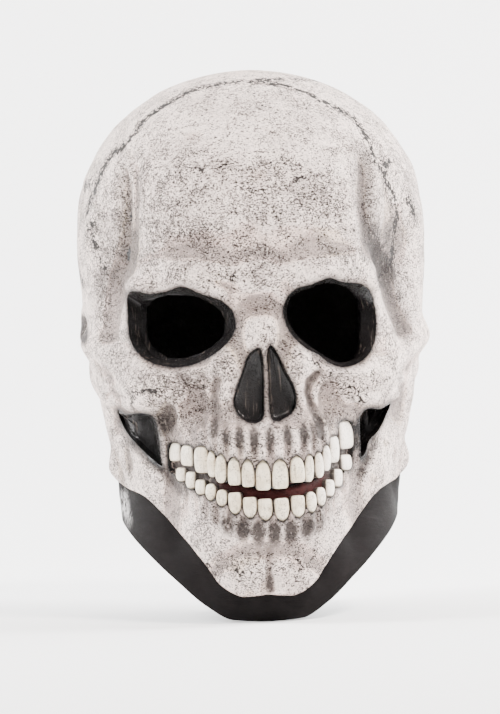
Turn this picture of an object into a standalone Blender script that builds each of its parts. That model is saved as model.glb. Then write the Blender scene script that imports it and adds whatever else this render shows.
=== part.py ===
"""Full-head skull mask of cast latex: a hollow bone shell, two rows of teeth and a black neck skirt.

The face looks along -Y, +X is to the right of someone looking at the face, and the origin is the
highest point inside the crown, where the wearer's head carries the mask. Sizes are in millimetres.
"""

import math

import bmesh
import bpy
import numpy as np

MM = 0.001

# Skin
SKIN = 2.5  # thickness of the cast wall
SKIRT_SKIN = 1.8  # thinner wall of the neck
GAP = 0.3  # clearance between pieces that meet
CROWN = SKIN  # height of the outer crown above the seat

# Mesh density of the outer form and of the hollow and neck: columns across the face, down each
# side and round the back, then rows from crown to jaw
OUTER_MESH = (29, 9, 9, 37)
HOLLOW_MESH = (29, 6, 7, 26)
SIDE_TURN = 112.0  # degrees from the face where the sides' columns end
FACE_REACH = 0.9  # share of the half width that the face's columns cover
DOME_RADIUS = 90.0

# Level sections of the head. power squares the front half off below 1 and points it above 1.
SECTIONS = (
    # z, half_width, front_y, back_y, widest_y, power
    (CROWN, 0, 0, 0, 0, 1.0),
    (-10, 50, -54, 52, 0, 1.0),
    (-30, 74, -84, 80, 0, 0.98),
    (-55, 87, -103, 98, 2, 0.95),
    (-85, 92, -113, 108, 4, 0.93),
    (-115, 90, -115, 109, 2, 0.93),
    (-145, 88, -109, 102, -2, 1.0),
    (-175, 82, -109, 88, -8, 1.05),
    (-205, 75, -110, 74, -16, 1.15),
    (-235, 71, -107, 68, -20, 1.2),
    (-272, 66, -105, 66, -22, 1.2),
)

# Lower edge of the bone, the lip that turns in under it, and the hem of the skirt
RIM = (
    # turn from the face in degrees, edge_z, lip, hem_z
    (0, -268.5, 19, -284),
    (14, -269.5, 18, -283),
    (25, -262, 15, -276),
    (40, -240, 12, -262),
    (60, -218, 7, -246),
    (80, -213, 4, -235),
    (95, -199, 4, -231),
    (110, -183, 4, -231),
    (130, -183, 4, -234),
    (155, -189, 4, -237),
    (180, -191, 4, -238),
)
EDGE_ROLL = 3.0  # how far the edge rounds in before the lip
LIP_RISE = 1.5  # the lip slopes up by this on its way in
TUCK = 6.0  # height of skirt that stands inside the shell
HEM = (73.0, -84.0, 66.0, -4.0)  # half width, front y, back y and widest y of the hem

# Bosses and hollows of the face, seen from the front. A positive tilt lifts the outer end.
FACE_FORMS = (
    # name, x, z, radius_x, radius_z, tilt, rise
    ("glabella", 0, -108, 20, 12, 0, 4.0),
    ("frontal boss", 30, -62, 34, 30, 0, 2.5),
    ("brow", 34, -105, 30, 10, 6, 5.5),
    ("brow corner", 60, -111, 12, 13, 0, 4.5),
    ("nasion", 0, -124, 14, 9, 0, -3.0),
    ("nasal bone", 0, -140, 13, 18, 0, 9.0),
    ("nasal flank", 17, -155, 11, 26, -18, 4.5),
    ("orbit floor rim", 38, -158, 26, 7, -4, 3.5),
    ("cheekbone", 56, -163, 22, 15, 12, 9.0),
    ("canine fossa", 33, -174, 10, 14, 0, -5.0),
    ("nasal spine", 0, -184, 8, 6, 0, 3.5),
    ("lip furrow", 0, -243, 30, 10, 0, -3.0),
    ("chin", 0, -258, 34, 16, 0, 7.0),
    ("chin corner", 19, -263, 12, 10, 0, 2.5),
    ("chin dimple", 0, -264, 6, 12, 0, -2.5),
)

# The same for the sides of the head, seen along X
SIDE_FORMS = (
    # name, y, z, radius_y, radius_z, tilt, rise
    ("parietal boss", 30, -55, 48, 38, 0, 2.5),
    ("temple", -66, -96, 32, 44, 0, -9.0),
    ("arch front", -62, -150, 30, 12, 10, 4.5),
    ("arch back", -24, -141, 38, 12, 6, 4.5),
    ("hollow under arch", -46, -178, 24, 16, 0, -5.0),
    ("ear hollow", 12, -132, 15, 13, 0, -4.5),
    ("mastoid", 22, -160, 16, 20, 0, 5.0),
    ("jaw angle", -18, -206, 16, 13, 0, 4.0),
    ("nape", 70, -190, 60, 18, 0, -3.0),
)

# Grooves down the outer edges of the forehead and behind the orbits, as x, z
TEMPORAL_GROOVES = (
    ((-61, -42), (-64, -56), (-65, -75), (-66, -92), (-70, -105), (-74, -120), (-78, -136)),
    ((51, -36), (56, -56), (56, -75), (58, -92), (65, -107), (69, -120), (76, -138)),
)
GROOVE_RADIUS = 7.0
GROOVE_DEPTH = 4.5
GROOVE_FADE = (-38.0, -66.0)

# Dental arch: how far the gums run back from the front teeth
ARCH_FRONT_Y = -120.0
ARCH_DEPTH = 38.0
ARCH_HALF_WIDTH = 45.0
ARCH_POWER = 2.6
MUZZLE_FADE_X = (42.0, 52.0)
MUZZLE_FADE_TOP = (-192.0, -174.0)
MUZZLE_FADE_BOTTOM = (-232.0, -266.0)

# Rims of the recesses, seen from the front, as x, z
ORBIT_LEFT = (
    (-65.5, -114.5), (-55, -116), (-46.5, -115), (-38.5, -113), (-29.5, -117), (-20, -120.5),
    (-14, -126), (-12.5, -134), (-16, -141), (-23, -147), (-33, -152), (-43.5, -153.5),
    (-54.5, -151), (-62, -145.5), (-66, -137), (-66.5, -125),
)
ORBIT_RIGHT = (
    (13.5, -120.5), (18.5, -116), (26, -114), (35, -111), (42, -113), (51, -114), (56.5, -118),
    (59, -125), (60, -134), (59, -143), (56, -149), (50, -154), (42, -156), (35, -154),
    (28.5, -149), (22, -145.5), (15, -138), (11.5, -128),
)
NOSE_LEFT = (
    (-2, -145), (0.3, -148), (0.9, -157), (0.8, -168), (0.2, -179), (-3.5, -182.5), (-9, -181.5),
    (-13, -177.5), (-14.5, -171.5), (-12.5, -165), (-8.5, -156.5), (-5, -148),
)
NOSE_RIGHT = (
    (3.8, -144), (7.2, -148.5), (11, -157), (15, -164), (16.8, -171), (15.5, -177), (11, -180.5),
    (6.5, -182), (3.7, -179.5), (3.2, -168), (3.2, -157), (2.6, -149),
)
CHEEK_LEFT = (
    (-73, -174.5), (-69, -177), (-61, -176.5), (-55.5, -178), (-52.5, -184), (-50.5, -192),
    (-49.3, -199.5), (-47.5, -203), (-53, -201.5), (-58.5, -198), (-63.5, -193), (-68.5, -187),
    (-71.5, -181),
)
CHEEK_RIGHT = (
    (67.5, -175.5), (61.5, -178), (56, -177.5), (52, -178.5), (49.2, -182), (49, -189),
    (49.4, -196), (49.6, -202.5), (52, -200), (55, -194), (59.5, -190), (63, -184.5),
)

RECESSES = (
    # name, rim, slope inward of the wall in mm, floor y at the middle line, floor slope along |x|
    ("orbit_left", ORBIT_LEFT, 3.5, -104.0, 0.50),
    ("orbit_right", ORBIT_RIGHT, 3.5, -104.0, 0.50),
    ("nose_left", NOSE_LEFT, 0.9, -107.0, 0.15),
    ("nose_right", NOSE_RIGHT, 0.9, -107.0, 0.15),
    ("cheek_left", CHEEK_LEFT, 1.5, -80.0, 0.42),
    ("cheek_right", CHEEK_RIGHT, 1.5, -80.0, 0.42),
)
EYE_LIP = 1.2  # flange left round the floor of an orbit when its eye hole is cut
HOLE_BACK_Y = -40.0
CUTTER_FRONT_Y = -150.0

# Teeth, left to right, seen from the front
UPPER_TEETH = (
    # x, width, gum_z, edge_z
    (-45.0, 6.8, -192.5, -201.5),
    (-38.3, 6.4, -193.5, -203.5),
    (-31.8, 6.4, -194.5, -208.0),
    (-26.5, 4.2, -196.5, -210.0),
    (-21.6, 5.8, -197.5, -213.5),
    (-15.2, 6.8, -200.0, -214.5),
    (-8.3, 6.8, -201.5, -215.5),
    (-0.6, 8.0, -202.5, -217.5),
    (8.0, 8.4, -202.0, -217.0),
    (16.3, 7.8, -200.5, -213.5),
    (22.6, 4.8, -199.5, -213.5),
    (27.2, 4.2, -198.5, -211.5),
    (31.3, 3.8, -195.0, -208.0),
    (35.8, 5.0, -191.0, -204.0),
    (42.3, 7.8, -183.5, -197.0),
)
LOWER_TEETH = (
    # x, width, gum_z, edge_z
    (-42.2, 4.6, -211.5, -204.5),
    (-37.5, 4.6, -215.0, -206.5),
    (-32.7, 4.8, -218.0, -210.5),
    (-27.7, 5.2, -221.0, -212.5),
    (-22.2, 5.6, -224.0, -215.5),
    (-15.7, 6.8, -228.0, -217.0),
    (-8.3, 7.2, -230.0, -219.5),
    (-0.6, 7.8, -231.5, -220.5),
    (7.8, 7.8, -232.0, -220.5),
    (16.0, 7.4, -230.5, -219.5),
    (22.9, 5.6, -228.5, -218.0),
    (28.1, 4.8, -225.5, -216.0),
    (32.8, 4.6, -221.0, -212.5),
    (37.4, 4.6, -216.5, -207.5),
    (42.6, 5.8, -208.5, -200.5),
)
TROUGH_DEPTH = 3.2  # the teeth stand in a trough this far behind the gums
TROUGH_MARGIN = 0.8  # height of trough left beyond the gum line of the teeth
TOOTH_BULGE = 1.6  # how far a crown stands proud of the gum
TOOTH_GROOVE = -0.6  # the same between two teeth
CORNER_DROP = 1.5  # how far a tooth's edge is rounded off at its corners
GUM_DIP = 1.0  # how far the gum comes down between two teeth
SLIT_HALF_HEIGHT = 1.2
SLIT_REACH = 30.0

BONE = ((0.74, 0.70, 0.67), 0.62)
BLACK = ((0.012, 0.011, 0.010), 0.28)
ENAMEL = ((0.80, 0.78, 0.68), 0.42)


def smooth_curve(at, xs, ys, flat_ends=False):
    """Monotone cubic through the points xs, ys, evaluated at the values in at."""
    xs = np.asarray(xs, float)
    ys = np.asarray(ys, float)
    steps = np.diff(xs)
    slopes = np.diff(ys) / steps
    tangents = np.zeros(len(xs))
    same_way = slopes[:-1] * slopes[1:] > 0
    sums = np.where(same_way, slopes[:-1] + slopes[1:], 1.0)
    tangents[1:-1] = np.where(same_way, 2 * slopes[:-1] * slopes[1:] / sums, 0.0)
    if not flat_ends:
        tangents[0], tangents[-1] = slopes[0], slopes[-1]
    at = np.clip(at, xs[0], xs[-1])
    i = np.clip(np.searchsorted(xs, at, side="right") - 1, 0, len(xs) - 2)
    t = (at - xs[i]) / steps[i]
    rise = t * t * (3 - 2 * t)
    start = t * (1 - t) ** 2
    end = t * t * (t - 1)
    return ys[i] * (1 - rise) + ys[i + 1] * rise + steps[i] * (start * tangents[i] + end * tangents[i + 1])


def ramp(value, low, high):
    """0 at low and 1 at high, with a smooth step between. low may be the greater."""
    t = np.clip((value - low) / (high - low), 0, 1)
    return t * t * (3 - 2 * t)


def rim_value(turn, column):
    """A column of RIM at a turn from the face, in radians either way."""
    degrees = np.degrees(np.abs((turn + np.pi) % (2 * np.pi) - np.pi))
    return smooth_curve(degrees, [row[0] for row in RIM], [row[column] for row in RIM], True)


def section(z):
    """half_width, front_y, back_y, widest_y and power at height z."""
    at = np.sqrt(np.maximum(CROWN - z, 0))
    depths = [math.sqrt(CROWN - row[0]) for row in SECTIONS]
    return [smooth_curve(at, depths, [row[k] for row in SECTIONS]) for k in range(1, 6)]


def base_point(turn, z):
    """Point of the plain head form, before any boss or hollow."""
    half_width, front_y, back_y, widest_y, power = section(z)
    ahead = np.cos(turn) > 0
    power = np.where(ahead, power, 1.0)
    reach = np.where(ahead, front_y - widest_y, back_y - widest_y)
    x = half_width * np.sign(np.sin(turn)) * np.abs(np.sin(turn)) ** power
    return x, widest_y + reach * np.abs(np.cos(turn)) ** power


def dome(across, up, radius_across, radius_up, tilt):
    """1 at the middle of a tilted ellipse, falling smoothly to 0 at its border."""
    c, s = math.cos(math.radians(tilt)), math.sin(math.radians(tilt))
    a = (across * c + up * s) / radius_across
    b = (up * c - across * s) / radius_up
    return np.clip(1 - a * a - b * b, 0, None) ** 2


def distance_to_path(x, z, path, closed=False):
    """Distance from each point to a line through the path's points."""
    best = np.full(np.shape(x), np.inf)
    ends = path[1:] + path[:1] if closed else path[1:]
    for (ax, az), (bx, bz) in zip(path, ends):
        dx, dz = bx - ax, bz - az
        t = np.clip(((x - ax) * dx + (z - az) * dz) / (dx * dx + dz * dz), 0, 1)
        best = np.minimum(best, np.hypot(x - ax - t * dx, z - az - t * dz))
    return best


def relief(turn, z, x, y):
    """Height of the bosses and hollows over the plain head form."""
    facing = ramp(np.cos(turn), 0.0, 0.3)
    sideways = ramp(np.abs(np.sin(turn)), 0.2, 0.55)
    height = np.zeros(np.shape(x))
    for _, x0, z0, radius_x, radius_z, tilt, rise in FACE_FORMS:
        form = dome(x - x0, z - z0, radius_x, radius_z, tilt)
        if x0:
            form = form + dome(-x - x0, z - z0, radius_x, radius_z, tilt)
        height += rise * form * facing
    for _, y0, z0, radius_y, radius_z, tilt, rise in SIDE_FORMS:
        height += rise * dome(y - y0, z - z0, radius_y, radius_z, tilt) * sideways
    for path in TEMPORAL_GROOVES:
        groove = np.clip(1 - (distance_to_path(x, z, path) / GROOVE_RADIUS) ** 2, 0, None)
        height -= GROOVE_DEPTH * groove * groove * facing * ramp(z, *GROOVE_FADE)
    return height


def arch_y(x):
    """Face of the gums along the dental arch."""
    return ARCH_FRONT_Y + ARCH_DEPTH * (np.abs(x) / ARCH_HALF_WIDTH) ** ARCH_POWER


def head_point(turn, z):
    """Point of the outer surface before the recesses are cut."""
    x, y = base_point(turn, z)
    nudge = 0.01
    ahead_x, ahead_y = base_point(turn + nudge, z)
    behind_x, behind_y = base_point(turn - nudge, z)
    along_x, along_y = ahead_x - behind_x, ahead_y - behind_y
    length = np.maximum(np.hypot(along_x, along_y), 1e-9)
    height = relief(turn, z, x, y)
    x, y = x + height * along_y / length, y - height * along_x / length
    muzzle = (
        (1 - ramp(np.abs(x), *MUZZLE_FADE_X))
        * (1 - ramp(z, *MUZZLE_FADE_TOP))
        * (1 - ramp(z, *MUZZLE_FADE_BOTTOM))
        * (np.cos(turn) > 0)
    )
    return x, y + (arch_y(x) - y) * muzzle


def surface_y(x, z):
    """y of the face at x, z, found by walking round the section."""
    low = np.zeros(np.shape(x))
    high = np.full(np.shape(x), np.pi / 2)
    side = np.where(np.asarray(x) < 0, -1.0, 1.0)
    for _ in range(30):
        middle = (low + high) / 2
        inside = np.abs(head_point(middle * side, z)[0]) < np.abs(x)
        low, high = np.where(inside, middle, low), np.where(inside, high, middle)
    return head_point(low * side, z)[1]


def columns(face_count, side_count, back_count):
    """Turns of the mesh columns, close together across the face and wider round the back."""
    face = np.arcsin(np.linspace(-FACE_REACH, FACE_REACH, face_count))
    side = np.linspace(face[-1], math.radians(SIDE_TURN), side_count + 1)[1:]
    back = np.linspace(side[-1], 2 * np.pi - side[-1], back_count + 2)[1:-1]
    return np.concatenate([face, side, back, 2 * np.pi - side[::-1]])


def head_rows(turns, row_count):
    """Rings of points from below the crown to the lower edge of the bone."""
    drop = CROWN - rim_value(turns, 1)
    longest = CROWN - RIM[0][1]
    rows = []
    for k in range(1, row_count + 1):
        arc = k / row_count * (longest + DOME_RADIUS / 2)
        depth = arc * arc / (2 * DOME_RADIUS) if arc < DOME_RADIUS else arc - DOME_RADIUS / 2
        z = CROWN - drop * depth / longest
        x, y = head_point(turns, z)
        rows.append(np.stack([x, y, z], axis=1))
    return np.array(rows)


def drawn_in(ring, inset):
    """The ring moved towards its middle by inset, level by level."""
    middle = np.array([0.0, (ring[:, 1].min() + ring[:, 1].max()) / 2])
    spoke = ring[:, :2] - middle
    length = np.linalg.norm(spoke, axis=1, keepdims=True)
    moved = ring.copy()
    moved[:, :2] = middle + spoke * (1 - np.reshape(inset, (-1, 1)) / length)
    return moved


def lifted(ring, rise):
    """The ring moved up by rise."""
    moved = ring.copy()
    moved[:, 2] += rise
    return moved


def inward(rows, thickness):
    """Rings offset into the head by the wall's thickness."""
    across = np.roll(rows, -1, axis=1) - np.roll(rows, 1, axis=1)
    down = np.gradient(rows, axis=0)
    normal = np.cross(down, across)
    normal /= np.linalg.norm(normal, axis=2, keepdims=True)
    return rows - normal * thickness


def build_object(name, points, faces, finish):
    """Object with the given points in millimetres, its faces turned outward."""
    mesh = bpy.data.meshes.new(name)
    mesh.from_pydata([tuple(p) for p in np.asarray(points) * MM], [], faces)
    work = bmesh.new()
    work.from_mesh(mesh)
    bmesh.ops.triangulate(work, faces=[f for f in work.faces if len(f.verts) > 3])
    bmesh.ops.recalc_face_normals(work, faces=work.faces)
    work.to_mesh(mesh)
    work.free()
    mesh.shade_smooth()
    mesh.set_sharp_from_angle(angle=math.radians(40))
    if finish:
        mesh.materials.append(finish)
    obj = bpy.data.objects.new(name, mesh)
    bpy.context.scene.collection.objects.link(obj)
    return obj


def ring_solid(name, rings, finish=None):
    """Closed solid through a stack of rings, each end filled from its middle point."""
    rings = np.asarray(rings)
    count, size = rings.shape[:2]
    first, last = rings[0].mean(axis=0), rings[-1].mean(axis=0)
    points = np.concatenate([rings.reshape(-1, 3), [first, last]])
    top, bottom = count * size, count * size + 1
    faces = []
    for j in range(size):
        k = (j + 1) % size
        faces.append((top, j, k))
        faces.append((bottom, (count - 1) * size + k, (count - 1) * size + j))
        for i in range(count - 1):
            faces.append((i * size + j, (i + 1) * size + j, (i + 1) * size + k, i * size + k))
    return build_object(name, points, faces, finish)


def head_solid(name, rows, top_z):
    """Closed solid from the crown down through the rows."""
    ring_stack = ring_solid(name, rows)
    ring_stack.data.vertices[len(rows) * rows.shape[1]].co = (0, 0, top_z * MM)
    return ring_stack


def helper(obj):
    """Marks an object as a cutter, which is no part of the mask."""
    obj.hide_render = True
    obj.display_type = "WIRE"
    return obj


def cut(target, cutter):
    modifier = target.modifiers.new("cut_" + cutter.name, "BOOLEAN")
    modifier.operation = "DIFFERENCE"
    modifier.solver = "EXACT"
    modifier.object = cutter


def offset_outline(outline, distance):
    """The closed outline grown by distance, or shrunk where it is negative."""
    points = np.array(outline, float)
    to_next = np.roll(points, -1, axis=0) - points
    normals = np.stack([to_next[:, 1], -to_next[:, 0]], axis=1)
    normals /= np.linalg.norm(normals, axis=1, keepdims=True)
    turning = points[:, 0] * np.roll(points[:, 1], -1) - points[:, 1] * np.roll(points[:, 0], -1)
    if turning.sum() < 0:
        normals = -normals
    corner = normals + np.roll(normals, 1, axis=0)
    corner /= np.maximum((corner**2).sum(axis=1, keepdims=True) / 2, 0.8)
    return points + corner * distance


def recess_volume(name, rim, slope_in, floor_y, floor_slope, grow=0.0):
    """Space of one recess: straight in from the front to the skin, then drawn in to its floor."""
    outer = offset_outline(rim, grow)
    floor = offset_outline(rim, grow - slope_in)
    skin_y = surface_y(np.array(rim)[:, 0], np.array(rim)[:, 1]) + grow
    deep_y = np.maximum(floor_y + floor_slope * np.abs(floor[:, 0]), skin_y - grow + 5.0) + grow
    depths = (np.full(len(outer), CUTTER_FRONT_Y), skin_y, deep_y)
    rings = [np.stack([o[:, 0], y, o[:, 1]], axis=1) for o, y in zip((outer, outer, floor), depths)]
    return helper(ring_solid(name, rings))


def eye_hole(name, rim, slope_in):
    """Prism that opens the floor of an orbit."""
    outline = offset_outline(rim, -slope_in - EYE_LIP)
    depths = (CUTTER_FRONT_Y, HOLE_BACK_Y)
    rings = [np.stack([outline[:, 0], np.full(len(outline), y), outline[:, 1]], axis=1) for y in depths]
    return helper(ring_solid(name, rings))


def arch_out(x):
    """Direction straight out of the gums, seen from above."""
    slope = arch_y(x + 0.5) - arch_y(x - 0.5)
    return np.stack([slope, -np.ones(np.shape(x))], axis=-1) / np.hypot(slope, 1.0)[..., None]


def arch_band(name, xs, top_z, bottom_z, depth):
    """Solid band that follows the dental arch, from well in front of the gums to depth behind."""
    gums = np.stack([xs, arch_y(xs)], axis=1)
    ahead, behind = gums + arch_out(xs) * 15.0, gums - arch_out(xs) * depth
    corners = ((ahead, top_z), (behind, top_z), (behind, bottom_z), (ahead, bottom_z))
    rings = np.stack([np.concatenate([p, z[:, None]], axis=1) for p, z in corners], axis=1)
    return helper(ring_solid(name, rings))


def gum_z(x, teeth):
    return np.interp(x, [tooth[0] for tooth in teeth], [tooth[2] for tooth in teeth])


def bite_z(x):
    """Height of the middle of the mouth, half way between the two rows' edges."""
    upper = np.interp(x, [tooth[0] for tooth in UPPER_TEETH], [tooth[3] for tooth in UPPER_TEETH])
    lower = np.interp(x, [tooth[0] for tooth in LOWER_TEETH], [tooth[3] for tooth in LOWER_TEETH])
    return (upper + lower) / 2


def tooth_stations(teeth):
    """x, gum_z, edge_z and bulge along a row: a groove, then each tooth's shoulders and middle."""
    toward_gum = np.sign(teeth[0][2] - teeth[0][3])
    stations = []
    for index, (x, width, _, edge) in enumerate(teeth):
        corner = edge + toward_gum * CORNER_DROP
        if index == 0:
            stations.append((x - width / 2, corner, TOOTH_GROOVE, GUM_DIP))
        for share, drop, bulge, dip in ((-0.32, 0.3, 0.85, 0.3), (0, 0, 1.0, 0), (0.32, 0.3, 0.85, 0.3)):
            top = edge + toward_gum * drop
            stations.append((x + share * width, top, TOOTH_BULGE * bulge, GUM_DIP * dip))
        if index + 1 < len(teeth):
            following = teeth[index + 1]
            between = (x + width / 2 + following[0] - following[1] / 2) / 2
            corner = (edge + following[3]) / 2 + toward_gum * CORNER_DROP
            stations.append((between, corner, TOOTH_GROOVE, GUM_DIP))
        else:
            stations.append((x + width / 2, corner, TOOTH_GROOVE, GUM_DIP))
    return [(x, gum_z(x, teeth) - toward_gum * dip, edge, bulge) for x, edge, bulge, dip in stations]


def tooth_row(name, teeth, finish):
    """One row of crowns as a single cast strip that follows the arch."""
    rings = []
    for x, gum, edge, bulge in tooth_stations(teeth):
        out = arch_out(np.array(x))
        profile = (
            # share of the way from gum to edge, distance out from the gum's face
            (0.0, GAP - TROUGH_DEPTH),
            (0.02, 0.4 * bulge),
            (0.5, bulge),
            (1.0, 0.3 * bulge - 0.3),
            (0.94, GAP - TROUGH_DEPTH),
        )
        rings.append([
            (x + out[0] * away, arch_y(x) + out[1] * away, gum + (edge - gum) * share)
            for share, away in profile
        ])
    return ring_solid(name, rings, finish)


def skull_shell(finish):
    """The bone part of the skin: outer form less its recesses, less the hollow."""
    turns = columns(*OUTER_MESH[:3])
    rows = head_rows(turns, OUTER_MESH[3])
    edge = rows[-1]
    lip = rim_value(turns, 2)
    rows[-1] = drawn_in(lifted(edge, 1.0), 0.8)
    under = [
        drawn_in(edge, EDGE_ROLL),
        drawn_in(lifted(edge, LIP_RISE), lip + EDGE_ROLL),
    ]
    shell = head_solid("skull_shell", np.concatenate([rows, under]), CROWN)
    shell.data.materials.append(finish)

    turns = columns(*HOLLOW_MESH[:3])
    outer_rows = head_rows(turns, HOLLOW_MESH[3])
    lip = rim_value(turns, 2)
    rows = inward(outer_rows, SKIN)[:-1]
    edge = outer_rows[-1]
    rows[-1] = drawn_in(lifted(edge, SKIN + 2.5), SKIN + 0.8)
    under = [
        drawn_in(lifted(edge, SKIN + LIP_RISE), lip),
        drawn_in(lifted(edge, -3 * SKIN), lip),
    ]
    hollow = helper(head_solid("hollow", np.concatenate([rows, under]), 0.0))

    for name, rim, slope_in, floor_y, floor_slope in RECESSES:
        cut(shell, recess_volume(name, rim, slope_in, floor_y, floor_slope))
        cut(hollow, recess_volume(name + "_wall", rim, slope_in, floor_y, floor_slope, SKIN))
    for name, rim in (("eye_left", ORBIT_LEFT), ("eye_right", ORBIT_RIGHT)):
        cut(shell, eye_hole(name, rim, RECESSES[0][2]))

    for target, name, grow in ((shell, "trough", 0.0), (hollow, "trough_wall", SKIN)):
        xs = np.linspace(UPPER_TEETH[0][0] - 4.2 - grow, UPPER_TEETH[-1][0] + 4.4 + grow, 27)
        top = gum_z(xs, UPPER_TEETH) + TROUGH_MARGIN + grow
        bottom = gum_z(xs, LOWER_TEETH) - TROUGH_MARGIN - grow
        cut(target, arch_band(name, xs, top, bottom, TROUGH_DEPTH + grow))
    xs = np.linspace(-SLIT_REACH, SLIT_REACH, 15)
    half = SLIT_HALF_HEIGHT
    cut(shell, arch_band("slit", xs, bite_z(xs) + half, bite_z(xs) - half, 12))
    cut(shell, hollow)
    return shell


def neck_skirt(finish):
    """Black latex neck, tucked inside the jaw's lip and opening out to its hem."""
    turns = columns(*HOLLOW_MESH[:3])
    edge_z, lip, hem_z = (rim_value(turns, column) for column in (1, 2, 3))
    x, y = head_point(turns, edge_z)
    edge = np.stack([x, y, edge_z], axis=1)
    throat = drawn_in(edge, lip + GAP)
    half_width, front_y, back_y, widest_y = HEM
    reach = np.where(np.cos(turns) > 0, widest_y - front_y, back_y - widest_y)
    hem = np.stack([half_width * np.sin(turns), widest_y - reach * np.cos(turns), hem_z], axis=1)
    below = lifted(throat, -SKIN - 0.5)
    outside = [lifted(throat, TUCK), below]
    outside += [below * (1 - t) + hem * t for t in (0.5, 1.0)]
    outside = np.array(outside)
    inside = np.array([drawn_in(ring, SKIRT_SKIN) for ring in outside])
    return tube_solid("neck_skirt", outside, inside, finish)


def tube_solid(name, outside, inside, finish):
    """Closed wall between an outer and an inner stack of rings."""
    loop = np.concatenate([outside, inside[::-1]])
    count, size = loop.shape[:2]
    faces = []
    for i in range(count):
        below = (i + 1) % count
        for j in range(size):
            k = (j + 1) % size
            faces.append((i * size + j, below * size + j, below * size + k, i * size + k))
    return build_object(name, loop.reshape(-1, 3), faces, finish)


def material(name, colour, roughness):
    made = bpy.data.materials.new(name)
    made.use_nodes = True
    surface = made.node_tree.nodes["Principled BSDF"]
    surface.inputs["Base Color"].default_value = (*colour, 1.0)
    surface.inputs["Roughness"].default_value = roughness
    surface.inputs["Metallic"].default_value = 0.0
    return made


def clear_scene():
    for obj in list(bpy.data.objects):
        bpy.data.objects.remove(obj)


def main():
    clear_scene()
    bone = material("bone_latex", *BONE)
    black = material("black_latex", *BLACK)
    enamel = material("tooth_paint", *ENAMEL)
    skull_shell(bone)
    neck_skirt(black)
    tooth_row("upper_teeth", UPPER_TEETH, enamel)
    tooth_row("lower_teeth", LOWER_TEETH, enamel)


main()
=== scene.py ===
"""Skull mask of cast latex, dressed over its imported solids: skin, neck, two rows of teeth, stage.

The face looks along -Y, +X is to the right of someone looking at it. Tables are in millimetres.
"""

import math

import bmesh
import bpy
import numpy as np
from mathutils import Matrix, Vector


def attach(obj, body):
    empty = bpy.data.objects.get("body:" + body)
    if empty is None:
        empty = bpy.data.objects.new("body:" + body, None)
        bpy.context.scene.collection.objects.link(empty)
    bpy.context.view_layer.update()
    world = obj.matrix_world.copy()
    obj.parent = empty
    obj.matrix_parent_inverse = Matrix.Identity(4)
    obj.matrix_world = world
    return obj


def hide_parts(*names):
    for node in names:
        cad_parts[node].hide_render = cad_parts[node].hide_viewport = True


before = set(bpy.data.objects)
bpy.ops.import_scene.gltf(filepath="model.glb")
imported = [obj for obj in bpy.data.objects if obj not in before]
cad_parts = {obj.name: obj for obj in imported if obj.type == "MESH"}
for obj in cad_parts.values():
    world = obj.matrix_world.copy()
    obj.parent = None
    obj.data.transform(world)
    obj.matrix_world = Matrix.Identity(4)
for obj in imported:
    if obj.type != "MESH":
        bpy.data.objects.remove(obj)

bl_info = {
    "name": "Skull mask",
    "version": (1, 0, 0),
    "blender": (4, 5, 0),
    "location": "View3D > Sidebar > Skull mask",
    "description": "Builds a cast latex skull mask with its paint, teeth and neck skirt",
    "category": "Add Mesh",
}

MM = 0.001
CROWN = 2.5  # height of the outer crown above the seat
SEED = 7

# Level sections of the head. power squares the front half off below 1 and points it above 1.
SECTIONS = (
    # z, half_width, front_y, back_y, widest_y, power
    (CROWN, 0, 0, 0, 0, 1.0),
    (-10, 50, -54, 52, 0, 1.0),
    (-30, 74, -84, 80, 0, 0.98),
    (-55, 87, -103, 98, 2, 0.95),
    (-85, 92, -113, 108, 4, 0.93),
    (-115, 90, -115, 109, 2, 0.93),
    (-145, 88, -109, 102, -2, 1.0),
    (-175, 82, -109, 88, -8, 1.05),
    (-205, 75, -110, 74, -16, 1.15),
    (-235, 71, -107, 68, -20, 1.2),
    (-272, 66, -105, 66, -22, 1.2),
)

# Lower edge of the bone, the lip that turns in under it, and the hem of the skirt
RIM = (
    # turn from the face in degrees, edge_z, lip, hem_z
    (0, -268.5, 19, -284),
    (14, -269.5, 18, -283),
    (25, -262, 15, -276),
    (40, -240, 12, -262),
    (60, -218, 7, -246),
    (80, -213, 4, -235),
    (95, -199, 4, -231),
    (110, -183, 4, -231),
    (130, -183, 4, -234),
    (155, -189, 4, -237),
    (180, -191, 4, -238),
)
EDGE_ROLL = 3.0
LIP_RISE = 1.5
TUCK = 6.0
HEM = (73.0, -84.0, 66.0, -4.0)  # half width, front y, back y and widest y

# Bosses and hollows of the face, seen from the front. A positive tilt lifts the outer end.
FACE_FORMS = (
    # name, x, z, radius_x, radius_z, tilt, rise
    ("glabella", 0, -108, 20, 12, 0, 4.0),
    ("frontal boss", 30, -62, 34, 30, 0, 2.5),
    ("brow", 34, -105, 30, 10, 6, 5.5),
    ("brow corner", 60, -111, 12, 13, 0, 4.5),
    ("nasion", 0, -124, 14, 9, 0, -3.0),
    ("nasal bone", 0, -140, 13, 18, 0, 9.0),
    ("nasal flank", 17, -155, 11, 26, -18, 4.5),
    ("orbit floor rim", 38, -158, 26, 7, -4, 3.5),
    ("cheekbone", 56, -163, 22, 15, 12, 9.0),
    ("canine fossa", 33, -174, 10, 14, 0, -5.0),
    ("nasal spine", 0, -184, 8, 6, 0, 3.5),
    ("lip furrow", 0, -243, 30, 10, 0, -3.0),
    ("chin", 0, -258, 34, 16, 0, 7.0),
    ("chin corner", 19, -263, 12, 10, 0, 2.5),
    ("chin dimple", 0, -264, 6, 12, 0, -2.5),
)

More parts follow.
